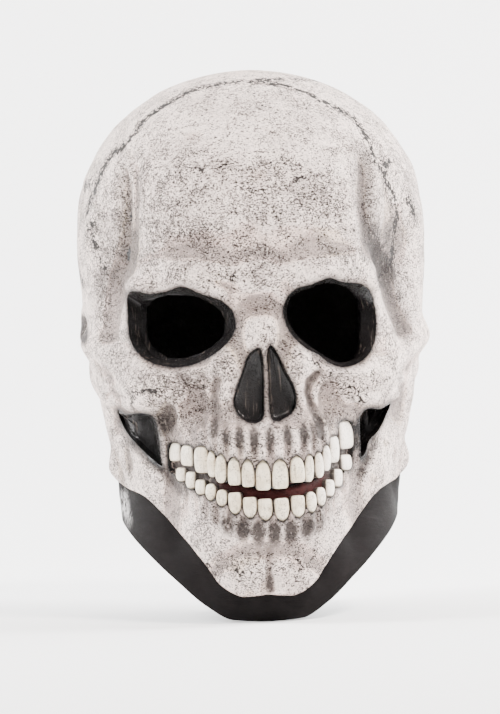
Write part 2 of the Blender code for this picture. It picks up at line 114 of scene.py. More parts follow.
# Forms that are on one side only, as in the photo: x is signed
ONE_SIDED_FORMS = (
    # name, x, z, radius_x, radius_z, tilt, rise
    ("fossa under left cheek", -49, -180, 7.5, 12, -20, -6.5),
    ("bulge beside left fossa", -58, -172, 7, 6, 0, 1.5),
    ("right brow hook", 43, -110, 12, 6, -8, 2.0),
    ("right cheek knob", 47, -172, 9, 6, 0, 2.0),
    ("right orbit floor knob", 20, -157, 7, 6, 0, 2.0),
    ("left nose wing", -19, -170, 6, 14, 10, 1.5),
    ("right nose wing", 20, -172, 5, 14, -10, 1.5),
    ("left jaw swell", -58, -206, 9, 12, 30, 1.5),
    ("right jaw swell", 60, -204, 8, 14, 20, 1.5),
    ("left chin plane", -28, -238, 8, 12, 30, 1.6),
    ("right chin plane", 31, -236, 8, 13, 30, 1.6),
)

# The same for the sides of the head, seen along X
SIDE_FORMS = (
    # name, y, z, radius_y, radius_z, tilt, rise
    ("parietal boss", 30, -55, 48, 38, 0, 2.5),
    ("temple", -66, -96, 32, 44, 0, -9.0),
    ("arch front", -62, -150, 30, 12, 10, 4.5),
    ("arch back", -24, -141, 38, 12, 6, 4.5),
    ("hollow under arch", -46, -178, 24, 16, 0, -5.0),
    ("ear hollow", 12, -132, 15, 13, 0, -4.5),
    ("ear hole", 10, -134, 6, 7, 0, -3.5),
    ("mastoid", 22, -160, 16, 20, 0, 5.0),
    ("jaw angle", -18, -206, 16, 13, 0, 4.0),
    ("nape", 70, -190, 60, 18, 0, -3.0),
)
LEFT_EAR_FORMS = (
    ("rim behind left ear", 4, -133, 10, 16, 0, 3.6),
    ("cup of left ear", -12, -133, 9, 11, 0, -4.0),
)

# Grooves seen from the front: the temples' run down behind the orbits, the rest are low relief
GROOVES = (
    # name, radius, depth, path of x, z
    ("left temple", 7, 3.8,
     ((-61, -42), (-64, -56), (-65, -75), (-66, -92), (-70, -105), (-74, -120), (-78, -136))),
    ("right temple", 7, 4.5,
     ((51, -36), (56, -56), (56, -75), (58, -92), (65, -107), (69, -120), (76, -138))),
    ("beside nose right", 2.6, 1.8,
     ((29, -158), (24, -162), (22.5, -168), (25, -176), (28, -183), (29, -190))),
    ("beside nose left", 3.0, 1.0, ((-22, -160), (-24, -168), (-23, -178), (-25, -188))),
    ("left temple crease", 2.2, 1.6, ((-66.6, -48), (-67.2, -62), (-67.6, -76), (-68, -90), (-69.8, -101))),
    ("left ramus edge", 3.5, 2.2, ((-66, -192), (-62, -196), (-56, -202), (-49, -207.5), (-41, -217.5))),
    ("right ramus edge", 3.5, 1.6, ((58, -194), (55.5, -200), (52, -206), (50, -211))),
    ("left jaw line", 3.0, 1.2, ((-62, -178), (-70, -192), (-68, -205))),
    ("chin split", 2.6, 1.6, ((1, -246), (0.5, -256), (1, -266))),
)
GROOVE_FADE = (-38.0, -66.0)
BUMP_REACHES = (2, 6, 14)  # mesh cells on each side over which a bump is judged
# How dark each groove is: airbrushed wash and painted shade
WASH_AND_SHADE_GROOVES = {
    "left temple": 0.0, "right temple": 0.7, "left temple crease": 0.5, "beside nose right": 0.9,
    "left ramus edge": 0.9, "right ramus edge": 1.0, "chin split": 0.5,
}
# Low ridges and lips seen from the front, in the fine surface alone
RIDGES = (
    # name, radius, rise, path of x, z
    ("left temple ridge", 2.1, 1.5,
     ((-63.4, -42), (-64.2, -56), (-64.8, -75), (-65.2, -90), (-66.4, -100), (-69, -108))),
    ("right temple ridge", 3.5, 1.2, ((50, -42), (54, -58), (54, -76), (56, -92), (62, -106))),
    ("left brow lip", 5.5, 2.6,
     ((-65, -110.5), (-56, -112), (-47, -111), (-39, -109), (-29, -113), (-20, -117))),
    ("right brow lip", 5.5, 2.6,
     ((18, -112.5), (26, -110.5), (34, -107.5), (42, -109.5), (51, -110.5), (57, -114.5))),
    ("left orbit floor lip", 4.0, 1.3, ((-66, -147), (-56, -155), (-43, -157.5), (-32, -156), (-22, -151))),
    ("right orbit floor lip", 4.0, 1.3,
     ((58, -152), (51, -158), (42, -160), (33, -158), (26, -153), (18, -147))),
    ("left cheek lip", 4.5, 2.4, ((-75, -170.5), (-68, -173), (-61, -172.5), (-55, -173.5))),
    ("right cheek lip", 4.5, 2.4, ((69, -171), (61, -174), (55, -173.5), (51, -174.5))),
    ("left fossa edge", 2.8, 1.8, ((-46, -171), (-42.5, -176), (-41, -182), (-39.5, -190))),
    ("right nose fold", 2.8, 1.6, ((33, -159), (28, -165), (26.5, -171), (29, -180), (32.5, -191))),
    ("left nose fold", 2.6, 0.9, ((-26, -160), (-28, -170), (-26.5, -180), (-28, -190))),
)

# Dental arch: how far the gums run back from the front teeth
ARCH_FRONT_Y = -120.0
ARCH_DEPTH = 38.0
ARCH_HALF_WIDTH = 45.0
ARCH_POWER = 2.6
MUZZLE_FADE_X = (42.0, 52.0)
MUZZLE_FADE_TOP = (-192.0, -174.0)
MUZZLE_FADE_BOTTOM = (-232.0, -266.0)

# Rims of the recesses and of the eye holes in them, seen from the front, as x, z
ORBIT_LEFT = (
    (-65.5, -114.5), (-55, -116), (-46.5, -115), (-38.5, -113), (-29.5, -117), (-20, -120.5),
    (-14, -126), (-12.5, -134), (-16, -141), (-23, -147), (-33, -152), (-43.5, -153.5),
    (-54.5, -151), (-62, -145.5), (-66, -137), (-66.5, -125),
)
EYE_LEFT = (
    (-57.5, -117.5), (-47, -116.5), (-39, -115.5), (-30, -118.5), (-21, -122), (-16, -127),
    (-15, -133), (-18.5, -139), (-25, -144.5), (-33.5, -148.5), (-43.5, -150), (-53, -148),
    (-57, -143), (-58.5, -137), (-58.2, -126),
)
ORBIT_RIGHT = (
    (13.5, -120.5), (18.5, -116), (26, -114), (35, -111), (42, -113), (51, -114), (56.5, -118),
    (59, -125), (60, -134), (59, -143), (56, -149), (50, -154), (42, -156), (35, -154),
    (28.5, -149), (22, -145.5), (15, -138), (11.5, -128),
)
EYE_RIGHT = (
    (15.5, -121), (19.5, -117.5), (26, -115.5), (35, -113), (46, -115.5), (51, -120.5),
    (52.5, -127), (52.6, -135), (51.5, -145), (48.5, -151.5), (42, -153.5), (35.5, -151.5),
    (24.5, -144), (17.5, -137), (14, -129),
)
NOSE_LEFT = (
    (-2, -145), (0.3, -148), (0.9, -157), (0.8, -168), (0.2, -179), (-3.5, -182.5), (-9, -181.5),
    (-13, -177.5), (-14.8, -171.5), (-13, -165), (-9.8, -156.5), (-6.6, -148.6),
)
NOSE_RIGHT = (
    (4.4, -143.6), (8.3, -148.5), (12, -157), (15.6, -164), (17.1, -171), (15.5, -177), (11, -180.5),
    (6.5, -182), (3.7, -179.5), (3.2, -168), (3.2, -157), (2.6, -149),
)
CHEEK_LEFT = (
    (-73, -174.5), (-69, -177), (-61, -176.5), (-55.5, -178), (-53.2, -184), (-52.2, -192),
    (-51.8, -199), (-51.6, -204.5), (-54, -202), (-59, -197.5), (-63.8, -192.5), (-68.5, -187),
    (-71.5, -181),
)
CHEEK_RIGHT = (
    (67.5, -175.5), (61.5, -178), (56, -177.5), (52.4, -178.5), (50.2, -182), (50, -189),
    (50.2, -196), (50.4, -202.5), (52.6, -200), (55, -194), (59.5, -190), (63, -184.5),
)
RECESSES = (
    # name, rim, eye hole or slope inward of the wall in mm, floor y at the middle, slope along |x|
    ("orbit_left", ORBIT_LEFT, EYE_LEFT, -104.0, 0.50),
    ("orbit_right", ORBIT_RIGHT, EYE_RIGHT, -104.0, 0.50),
    ("nose_left", NOSE_LEFT, 0.9, -107.0, 0.15),
    ("nose_right", NOSE_RIGHT, 0.9, -107.0, 0.15),
    ("cheek_left", CHEEK_LEFT, 1.5, -80.0, 0.42),
    ("cheek_right", CHEEK_RIGHT, 1.5, -80.0, 0.42),
)

# Teeth, left to right, seen from the front. kind: 0 incisor, 1 canine, 2 molar
UPPER_TEETH = (
    # x, width, gum_z, edge_z, kind
    (-45.0, 7.0, -192.0, -201.3, 2),
    (-38.8, 6.2, -193.0, -203.6, 2),
    (-32.0, 7.4, -193.6, -207.2, 2),
    (-26.7, 4.4, -195.8, -209.2, 1),
    (-22.2, 6.0, -197.6, -212.2, 1),
    (-15.9, 6.8, -199.4, -213.4, 0),
    (-9.0, 6.8, -200.6, -214.4, 0),
    (-1.3, 8.0, -201.4, -216.3, 0),
    (7.2, 8.6, -201.0, -215.8, 0),
    (15.8, 8.0, -199.6, -213.0, 0),
    (22.4, 5.0, -199.0, -213.0, 1),
    (27.1, 4.6, -198.0, -211.2, 1),
    (31.4, 4.2, -194.6, -208.0, 1),
    (35.9, 5.2, -190.6, -204.2, 2),
    (42.4, 8.4, -183.2, -197.6, 2),
)
LOWER_TEETH = (
    # x, width, gum_z, edge_z, kind
    (-42.2, 4.6, -211.5, -204.5, 2),
    (-37.5, 4.6, -215.0, -206.5, 2),
    (-32.7, 4.8, -218.0, -210.5, 2),
    (-27.7, 5.2, -221.0, -212.5, 1),
    (-22.2, 5.6, -224.0, -215.5, 1),
    (-15.7, 6.8, -228.0, -217.0, 0),
    (-8.3, 7.2, -230.0, -219.5, 0),
    (-0.6, 7.8, -231.5, -220.5, 0),
    (7.8, 7.8, -232.0, -220.5, 0),
    (16.0, 7.4, -230.5, -219.5, 0),
    (22.9, 5.6, -228.5, -218.0, 1),
    (28.1, 4.8, -225.5, -216.0, 1),
    (32.8, 4.6, -221.0, -212.5, 2),
    (37.4, 4.6, -216.5, -207.5, 2),
    (42.6, 5.8, -208.5, -200.5, 2),
)
TROUGH_DEPTH = 3.2
SLIT_REACH = 30.0
LINING = -30.0  # rim value of the inside
SLIT_RISE = 2.8  # the slit hides behind the upper edges
GAP_SPREAD = 1.6  # the painted shade of the gap reaches this far behind the edges

# Sutures and cracks, seen from the front, as x, z
SUTURES = (
    ((-2, -6), (-16, -7.5), (-29, -10), (-37, -13.5), (-45, -18.5), (-50, -21.5), (-57, -27.5),
     (-62, -34.5), (-68, -40.5), (-73.5, -44.5), (-77.5, -51), (-80, -56.5), (-85, -68), (-87.5, -74)),
    ((-87, -77), (-86, -81), (-83, -78.5), (-81.5, -81)),
    ((-83.5, -82), (-81, -92), (-78, -99.5), (-75.5, -106)),
    ((-2, -6), (15, -8.5), (21.5, -10.5), (30, -14), (37.5, -19), (45, -22.5), (49.5, -25), (54, -28.5),
     (57.5, -35), (61, -43), (63, -51), (67, -56.5), (69, -62.5), (72, -68.5), (73.5, -77), (73.6, -83),
     (71.6, -88.5), (71.8, -94.5), (70.5, -100.5), (68, -107)),
    ((77, -73.5), (79, -70), (82, -73), (85, -81)),
)
SUTURE_HALF_WIDTH, HIDDEN_HALF_WIDTH, CRACK_HALF_WIDTH = 0.66, 0.5, 0.42
# The same lines where the front view doesn't reach, as turn from the face in degrees, z
HIDDEN_SUTURES = (
    ((0, -6), (180, -4), (180, -14), (180, -30), (180, -48)),
    ((180, -48), (165, -62), (150, -78), (140, -96), (128, -118), (118, -134)),
    ((180, -48), (-165, -62), (-150, -78), (-140, -96), (-128, -118), (-118, -134)),
    ((80, -112), (92, -100), (104, -98), (116, -106), (128, -118)),
    ((-80, -112), (-92, -100), (-104, -98), (-116, -106), (-128, -118)),
)
CRACKS = (
    ((28.5, -59), (21, -60.5), (16, -64)),
    ((-47.5, -165), (-53, -165), (-58, -164.5), (-64, -166.5), (-66, -170.5), (-65, -175)),
    ((19.5, -150), (26, -152.5), (32, -156.5), (35.5, -162)),
    ((38, -166), (45, -166.5), (48.5, -169.5), (51, -174), (52.5, -176.5)),
    ((-30, -164), (-37, -162), (-41, -159)),
    ((60, -115), (61.5, -112), (66.5, -107.5)),
    ((-3, -64), (-1, -67), (3, -65), (4, -69)),
    ((14, -214), (20, -212), (27, -211)),
    ((-33, -252), (-28, -256), (-26, -261)),
    ((14, -250), (17, -256), (14, -261), (18, -264)),
    ((-18, -253), (-14, -258), (-10, -256), (-8, -262)),
    ((-12, -106), (-14, -112), (-11, -118)),
)

# Dirty patches where the sponge left the wash, as x, z, radius_x, radius_z, strength
STAINS = (
    (-4, -22, 22, 9, 0.55), (30, -30, 16, 10, 0.4), (-34, -46, 14, 12, 0.4), (28, -62, 16, 12, 0.55),
    (-40, -78, 18, 20, 0.6), (-36, -92, 14, 10, 0.5), (3, -104, 12, 11, 1.0), (46, -100, 14, 9, 0.55),
    (-22, -60, 12, 10, 0.3), (8, -80, 14, 8, 0.3), (-78, -108, 9, 10, 0.9), (-36, -160, 14, 6, 0.6),
    (-26, -158, 8, 5, 0.9), (26, -165, 7, 5, 0.2), (-70, -206, 10, 10, 0.5), (-62, -150, 9, 12, 0.5),
    (-46, -158, 16, 6, 0.9), (-38, -170, 12, 8, 0.6),
    (66, -160, 8, 10, 0.2), (0, -186, 22, 6, 0.5), (-30, -190, 9, 7, 0.4), (-46, -210, 8, 10, 0.55),
    (0, -262, 12, 8, 0.35), (-22, -256, 9, 8, 0.2), (22, -256, 9, 8, 0.25), (0, -240, 30, 8, 0.35),
    (62, -214, 9, 14, 0.1), (78, -120, 7, 20, 0.3), (-84, -160, 7, 20, 0.35), (14, -40, 10, 8, 0.35),
)
# Places thick with dark specks
SPECKLED = (
    (-78, -116, 8, 18, 0.6), (-38, -90, 18, 20, 0.45), (-44, -160, 24, 8, 0.6), (3, -104, 10, 12, 0.4),
    (28, -64, 16, 10, 0.3), (74, -120, 8, 16, 0.4), (24, -248, 16, 10, 0.3), (-20, -250, 14, 10, 0.25),
    (-72, -150, 10, 20, 0.5), (-76, -190, 7, 14, 0.5), (36, -165, 10, 6, 0.3), (78, -60, 8, 24, 0.3),
    (-30, -232, 12, 10, 0.3), (46, -104, 12, 8, 0.3),
)
# Places with few of them
CLEAR = ((30, -88, 16, 8, 1), (-30, -104, 12, 6, 1), (-20, -30, 20, 14, 0.6), (24, -104, 18, 7, 0.6))
# Places where the black of the cheek hollows runs out over the bone
BLACK_SPREAD = ((48.5, -190, 3, 12, 1.0), (52, -205, 4, 6, 0.8), (-56, -202, 5, 5, 0.6))
NECK_HIGHLIGHT_PATCHES = ((-71.5, -224, 2.8, 8, 1.0), (-69.5, -231, 2.2, 6, 0.5))  # painted highlight on the neck's left side
# Airbrushed dark patches, most of them in hollows: airbrushed wash and painted shade
DARK_PATCHES = (
    (-49, -180, 7, 11, 1.15), (0, -263, 4, 6, 0.5), (0, -124, 8, 5, 0.25), (-90.5, -132, 3.4, 9, 2.8),
    (0, -236, 30, 5, 0.2), (-20, -152, 5, 5, 0.35), (-24, -176, 4, 12, 0.3), (-82, -118, 5, 14, 0.25),
    (-76, -105, 7, 6, 0.45), (70, -108, 4, 8, 0.35), (-32, -184, 5, 9, 0.35), (24, -124, 3, 4, 0.2),
)
# Places where the paint is warmer, more beige than pink
WARM = (
    (-47, -178, 9, 13, 1.0), (-72, -205, 12, 14, 0.9), (-80, -60, 14, 26, 0.5), (-40, -212, 12, 12, 0.6),
    (-90, -140, 8, 12, 0.8), (60, -75, 9, 34, 0.5), (-67, -80, 6, 40, 0.5), (60, -200, 9, 12, 0.4),
    (5, -38, 20, 14, 0.35), (28, -172, 7, 14, 0.3),
)


# Fixed tints of the paint, beside the colours that can be set
# Painted shade in the hollows
HOLLOW_SHADE = (0.17, 0.135, 0.12)
GRAIN_SHADE = (0.27, 0.215, 0.20)
PIT_LIP = (0.92, 0.78, 0.71)
CLOUD = (0.40, 0.32, 0.29)
SMUDGE = (0.14, 0.11, 0.10)
HALO = (0.10, 0.085, 0.08)
PIT = (0.024, 0.018, 0.017)
DRAWN_LINE = (0.02, 0.016, 0.015)
# Painted sheen on the deep black floors
SHEEN_STREAK = (0.11, 0.088, 0.075)
LATEX_CLOUD = (0.016, 0.014, 0.014)
# Painted highlight on the neck
NECK_HIGHLIGHT_TINT = (0.55, 0.53, 0.52)
TOOTH_RIB = (0.34, 0.27, 0.19)
TOOTH_PALE = (0.80, 0.72, 0.66)
# Painted shade of the teeth: at their sides, and between them
TOOTH_SIDE_SHADE = (0.25, 0.19, 0.13)
TOOTH_GAP_SHADE = (0.025, 0.018, 0.014)
TOOTH_PIT = (0.14, 0.11, 0.09)

# Floor and backdrop, and the camera at the photograph's angle
FLOOR_Z = -284.3
FLOOR_FRONT_Y, FLOOR_BEND_Y, FLOOR_BEND = -1500.0, 500, 600
FLOOR_HALF_WIDTH, BACKDROP_HEIGHT = 2500.0, 2200
FOCAL_PIXELS = 3960.0  # of the photograph, were it taken from 2 m
PICTURE_PIXELS = 714.0
SENSOR = 36.0
CAMERA_X, CAMERA_Z, FACE_Y = -5.45, -149.4, -100  # the camera is level with the face
CAMERA_TO_LEFT = 0.0295  # share of its distance
CAMERA_ROLL = -1.76  # degrees

LAMPS = (
    # name, place, target, size, power in watts
    ("key_lamp", (700, -1250, 1100), (0, -60, -150), 380, 62),
    ("fill_lamp", (-500, -1700, -50), (0, -60, -160), 900, 3),
    ("left_rim_lamp", (-1000, 350, 150), (0, 0, -140), 700, 20),
    ("right_rim_lamp", (1000, 350, 150), (0, 0, -140), 700, 26),
    ("left_backdrop_lamp", (-1500, -200, 1200), (-300, 1100, 100), 900, 90),
    ("right_backdrop_lamp", (1500, -200, 1200), (300, 1100, 100), 900, 90),
)
KEY_COLOUR = (1.0, 0.925, 0.88)
SURROUND = 0.18  # strength of the plain surround


def smooth_curve(at, xs, ys, flat_ends=False):
    """Monotone cubic through the points xs, ys, evaluated at the values in at."""
    xs = np.asarray(xs, float)
    ys = np.asarray(ys, float)
    steps = np.diff(xs)
    slopes = np.diff(ys) / steps
    tangents = np.zeros(len(xs))
    same_way = slopes[:-1] * slopes[1:] > 0
    sums = np.where(same_way, slopes[:-1] + slopes[1:], 1.0)
    tangents[1:-1] = np.where(same_way, 2 * slopes[:-1] * slopes[1:] / sums, 0.0)
    if not flat_ends:
        tangents[0], tangents[-1] = slopes[0], slopes[-1]
    at = np.clip(at, xs[0], xs[-1])
    i = np.clip(np.searchsorted(xs, at, side="right") - 1, 0, len(xs) - 2)
    t = (at - xs[i]) / steps[i]
    rise = t * t * (3 - 2 * t)
    start = t * (1 - t) ** 2
    end = t * t * (t - 1)
    return ys[i] * (1 - rise) + ys[i + 1] * rise + steps[i] * (start * tangents[i] + end * tangents[i + 1])


def ramp(value, low, high):
    """0 at low and 1 at high, with a smooth step between. low may be the greater."""
    t = np.clip((value - low) / (high - low), 0, 1)
    return t * t * (3 - 2 * t)


def rim_value(turn, column):
    """A column of RIM at a turn from the face, in radians either way."""
    degrees = np.degrees(np.abs((turn + np.pi) % (2 * np.pi) - np.pi))
    return smooth_curve(degrees, [row[0] for row in RIM], [row[column] for row in RIM], True)


def section(z):
    """half_width, front_y, back_y, widest_y and power at height z."""
    at = np.sqrt(np.maximum(CROWN - z, 0))
    depths = [math.sqrt(CROWN - row[0]) for row in SECTIONS]
    return [smooth_curve(at, depths, [row[k] for row in SECTIONS]) for k in range(1, 6)]


def base_point(turn, z):
    """Point of the plain head form, before any boss or hollow."""
    half_width, front_y, back_y, widest_y, power = section(z)
    ahead = np.cos(turn) > 0
    power = np.where(ahead, power, 1.0)
    reach = np.where(ahead, front_y - widest_y, back_y - widest_y)
    x = half_width * np.sign(np.sin(turn)) * np.abs(np.sin(turn)) ** power
    return x, widest_y + reach * np.abs(np.cos(turn)) ** power


def dome(across, up, radius_across, radius_up, tilt=0):
    """1 at the middle of a tilted ellipse, falling smoothly to 0 at its border."""
    c, s = math.cos(math.radians(tilt)), math.sin(math.radians(tilt))
    a = (across * c + up * s) / radius_across
    b = (up * c - across * s) / radius_up
    return np.clip(1 - a * a - b * b, 0, None) ** 2


def distance_to_path(x, z, path):
    """Distance from each point to a line through the path's points."""
    best = np.full(np.shape(x), np.inf)
    for (ax, az), (bx, bz) in zip(path, path[1:]):
        dx, dz = bx - ax, bz - az
        t = np.clip(((x - ax) * dx + (z - az) * dz) / (dx * dx + dz * dz), 0, 1)
        best = np.minimum(best, np.hypot(x - ax - t * dx, z - az - t * dz))
    return best


def root_relief(x, z):
    """Ridges over the roots of the teeth, above the upper row and below the lower one."""
    height = np.zeros(np.shape(x))
    for teeth, way, reach in ((UPPER_TEETH, 1, 17.0), (LOWER_TEETH, -1, 15.0)):
        for tooth_x, width, gum, _, kind in teeth:
            along = way * (z - gum)
            body = ramp(along, -5.0, 0.0) * (1 - ramp(along, 0.5 * reach, reach))
            height += (2.6 if kind == 1 else 2.1) * body * np.exp(-(((x - tooth_x) / (0.32 * width)) ** 2))
    return height * (1 - ramp(np.abs(x), 40, 48))


def relief(turn, z, x, y):
    """Height of the bosses and hollows over the plain head form."""
    facing = ramp(np.cos(turn), 0.0, 0.3)
    sideways = ramp(np.abs(np.sin(turn)), 0.2, 0.55)
    height = np.zeros(np.shape(x))
    for _, x0, z0, radius_x, radius_z, tilt, rise in FACE_FORMS:
        form = dome(x - x0, z - z0, radius_x, radius_z, tilt)
        if x0:
            form = form + dome(-x - x0, z - z0, radius_x, radius_z, tilt)
        height += rise * form * facing
    for _, y0, z0, radius_y, radius_z, tilt, rise in SIDE_FORMS:
        height += rise * dome(y - y0, z - z0, radius_y, radius_z, tilt) * sideways
    for _, y0, z0, radius_y, radius_z, tilt, rise in LEFT_EAR_FORMS:
        height += rise * dome(y - y0, z - z0, radius_y, radius_z, tilt) * sideways * (x < 0)
    return height


def line_relief(turn, z, x, fine):
    """Height of the grooves and ridges at places seen from the front."""
    height = np.zeros(np.shape(x))
    for name, radius, depth, path in GROOVES if fine else GROOVES[:2]:
        groove = np.clip(1 - (distance_to_path(x, z, path) / radius) ** 2, 0, None)
        height -= depth * groove * groove * (ramp(z, *GROOVE_FADE) if "temple" in name else 1.0)
    for _, radius, rise, path in RIDGES if fine else ():
        ridge = np.clip(1 - (distance_to_path(x, z, path) / radius) ** 2, 0, None)
        height += rise * ridge * ridge
    for _, x0, z0, radius_x, radius_z, tilt, rise in ONE_SIDED_FORMS if fine else ():
        height += rise * dome(x - x0, z - z0, radius_x, radius_z, tilt)
    return height * ramp(np.cos(turn), 0.0, 0.3)


def arch_y(x):
    """Face of the gums along the dental arch."""
    return ARCH_FRONT_Y + ARCH_DEPTH * (np.abs(x) / ARCH_HALF_WIDTH) ** ARCH_POWER


def arch_out(x):
    """Direction straight out of the gums, seen from above."""
    slope = arch_y(x + 0.5) - arch_y(x - 0.5)
    return np.stack([slope, -np.ones(np.shape(x))], axis=-1) / np.hypot(slope, 1.0)[..., None]


def lumps(points, scale, seed):
    """Soft uneven swell of a hand-worked surface, about -1 to 1."""
    rng = np.random.default_rng(seed)
    waves = rng.normal(size=(14, 3)) / scale
    phases = rng.uniform(0, 2 * np.pi, 14)
    return np.sin(points @ waves.T + phases).sum(axis=-1) / 4.0


def head_point(turn, z, fine=False):
    """Point of the outer surface before the recesses are cut."""
    x, y = base_point(turn, z)
    nudge = 0.01
    ahead_x, ahead_y = base_point(turn + nudge, z)
    behind_x, behind_y = base_point(turn - nudge, z)
    along_x, along_y = ahead_x - behind_x, ahead_y - behind_y
    length = np.maximum(np.hypot(along_x, along_y), 1e-9)
    height = relief(turn, z, x, y)
    height = height + line_relief(turn, z, x + height * along_y / length, fine)
    if fine:
        spots = np.stack([x, y, np.broadcast_to(z, np.shape(x))], axis=-1)
        height += 0.45 * lumps(spots, 13.0, SEED) + 0.22 * lumps(spots, 5.0, SEED + 1)
    x, y = x + height * along_y / length, y - height * along_x / length
    muzzle = (
        (1 - ramp(np.abs(x), *MUZZLE_FADE_X))
        * (1 - ramp(z, *MUZZLE_FADE_TOP))
        * (1 - ramp(z, *MUZZLE_FADE_BOTTOM))
        * (np.cos(turn) > 0)
    )
    gums = arch_y(x)
    if fine:
        gums = gums - root_relief(x, z) - 0.2 * lumps(spots, 6.0, SEED + 2)
    return x, y + (gums - y) * muzzle


def turn_at(x, z, fine):
    """Turn from the face at which the section reaches x."""
    low, high = np.zeros(np.shape(x)), np.full(np.shape(x), np.pi / 2)
    side = np.where(np.asarray(x) < 0, -1.0, 1.0)
    for _ in range(26):
        middle = (low + high) / 2
        inside = np.abs(head_point(middle * side, z, fine)[0]) < np.abs(x)
        low, high = np.where(inside, middle, low), np.where(inside, high, middle)
    return low * side


def catmull_rom(a, b, c, d, t):
    """Point at t on the curve from b to c, with a before and d beyond."""
    bend = 2 * a - 5 * b + 4 * c - d
    twist = 3 * b - a - 3 * c + d
    return 0.5 * (2 * b + (c - a) * t + bend * t**2 + twist * t**3)


def smooth_outline(points, per_side=10):
    """Closed Catmull-Rom curve through the points."""
    p = np.array(points, float)
    before, after, beyond = np.roll(p, 1, axis=0), np.roll(p, -1, axis=0), np.roll(p, -2, axis=0)
    t = np.linspace(0, 1, per_side, endpoint=False)[None, :, None]
    a, b, c, d = (q[:, None, :] for q in (before, p, after, beyond))
    return catmull_rom(a, b, c, d, t).reshape(-1, 2)


def outline_distance(x, z, outline):
    """Signed distance to a closed outline, negative inside, with the nearest point on it."""
    a, b = outline, np.roll(outline, -1, axis=0)
    run = b - a
    q = np.stack([x, z], axis=-1)[:, None, :]
    t = np.clip(((q - a) * run).sum(-1) / np.maximum((run * run).sum(-1), 1e-9), 0, 1)
    near = a + run * t[..., None]
    gap = np.hypot(*np.moveaxis(q - near, -1, 0))
    best = gap.argmin(axis=1)
    rows = np.arange(len(x))
    above = (a[:, 1] > z[:, None]) != (b[:, 1] > z[:, None])
    drop = np.where(b[:, 1] == a[:, 1], 1e-9, b[:, 1] - a[:, 1])
    right = x[:, None] < a[:, 0] + (z[:, None] - a[:, 1]) * run[:, 0] / drop
    inside = (above & right).sum(axis=1) % 2 == 1
    return np.where(inside, -1, 1) * gap[rows, best], near[rows, best]


def mouth_outline():
    """Line of the gums round both rows: a pointed arch over each tooth, a tip between two."""
    lines = []
    for teeth, way, spare in ((UPPER_TEETH, 1, 0.3), (LOWER_TEETH, -1, 0.5)):
        line = []
        tips = [(x - width / 2, gum - way * 0.45 * abs(edge - gum)) for x, width, gum, edge, _ in teeth]
        ends = [(x + width / 2, gum - way * 0.45 * abs(edge - gum)) for x, width, gum, edge, _ in teeth]
        for i, (x, width, gum, edge, kind) in enumerate(teeth):
            tip = tips[0] if i == 0 else tuple((a + b) / 2 for a, b in zip(tips[i], ends[i - 1]))
            line.append(tip)
            for across, down in ((-0.36, 0.2), (-0.18, 0.05), (0.0, 0.0), (0.18, 0.05), (0.36, 0.2)):
                down *= 0.5 if kind == 2 else 1.0 if way > 0 else 1.3
                z = gum - way * down * abs(edge - gum) + way * spare
                line.append((x + across * (width + spare), z))
        line.append(ends[-1])
        lines.append(line)
    first, last = UPPER_TEETH[0], UPPER_TEETH[-1]
    left = [(first[0] - 3.5, -198.5), (first[0] - 2.6, -206.5)]
    right = [(last[0] + 4.3, -190.5), (last[0] + 3.6, -200.0)]
    return lines[0] + right + lines[1][::-1] + left[::-1]


def row_edges(x):
    """Heights of the upper row's and of the lower row's biting edges."""
    return [
        np.interp(x, [tooth[0] for tooth in teeth], [tooth[3] for tooth in teeth])
        for teeth in (UPPER_TEETH, LOWER_TEETH)
    ]


def bite_z(x):
    """Height of the middle of the mouth, half way between the two rows' edges."""
    upper, lower = row_edges(x)
    return (upper + lower) / 2


def bite_gap(x):
    """Middle and half height of the dark gap between the two rows."""
    upper, lower = row_edges(x)
    return (upper + lower) / 2, (upper - lower) / 2 + GAP_SPREAD


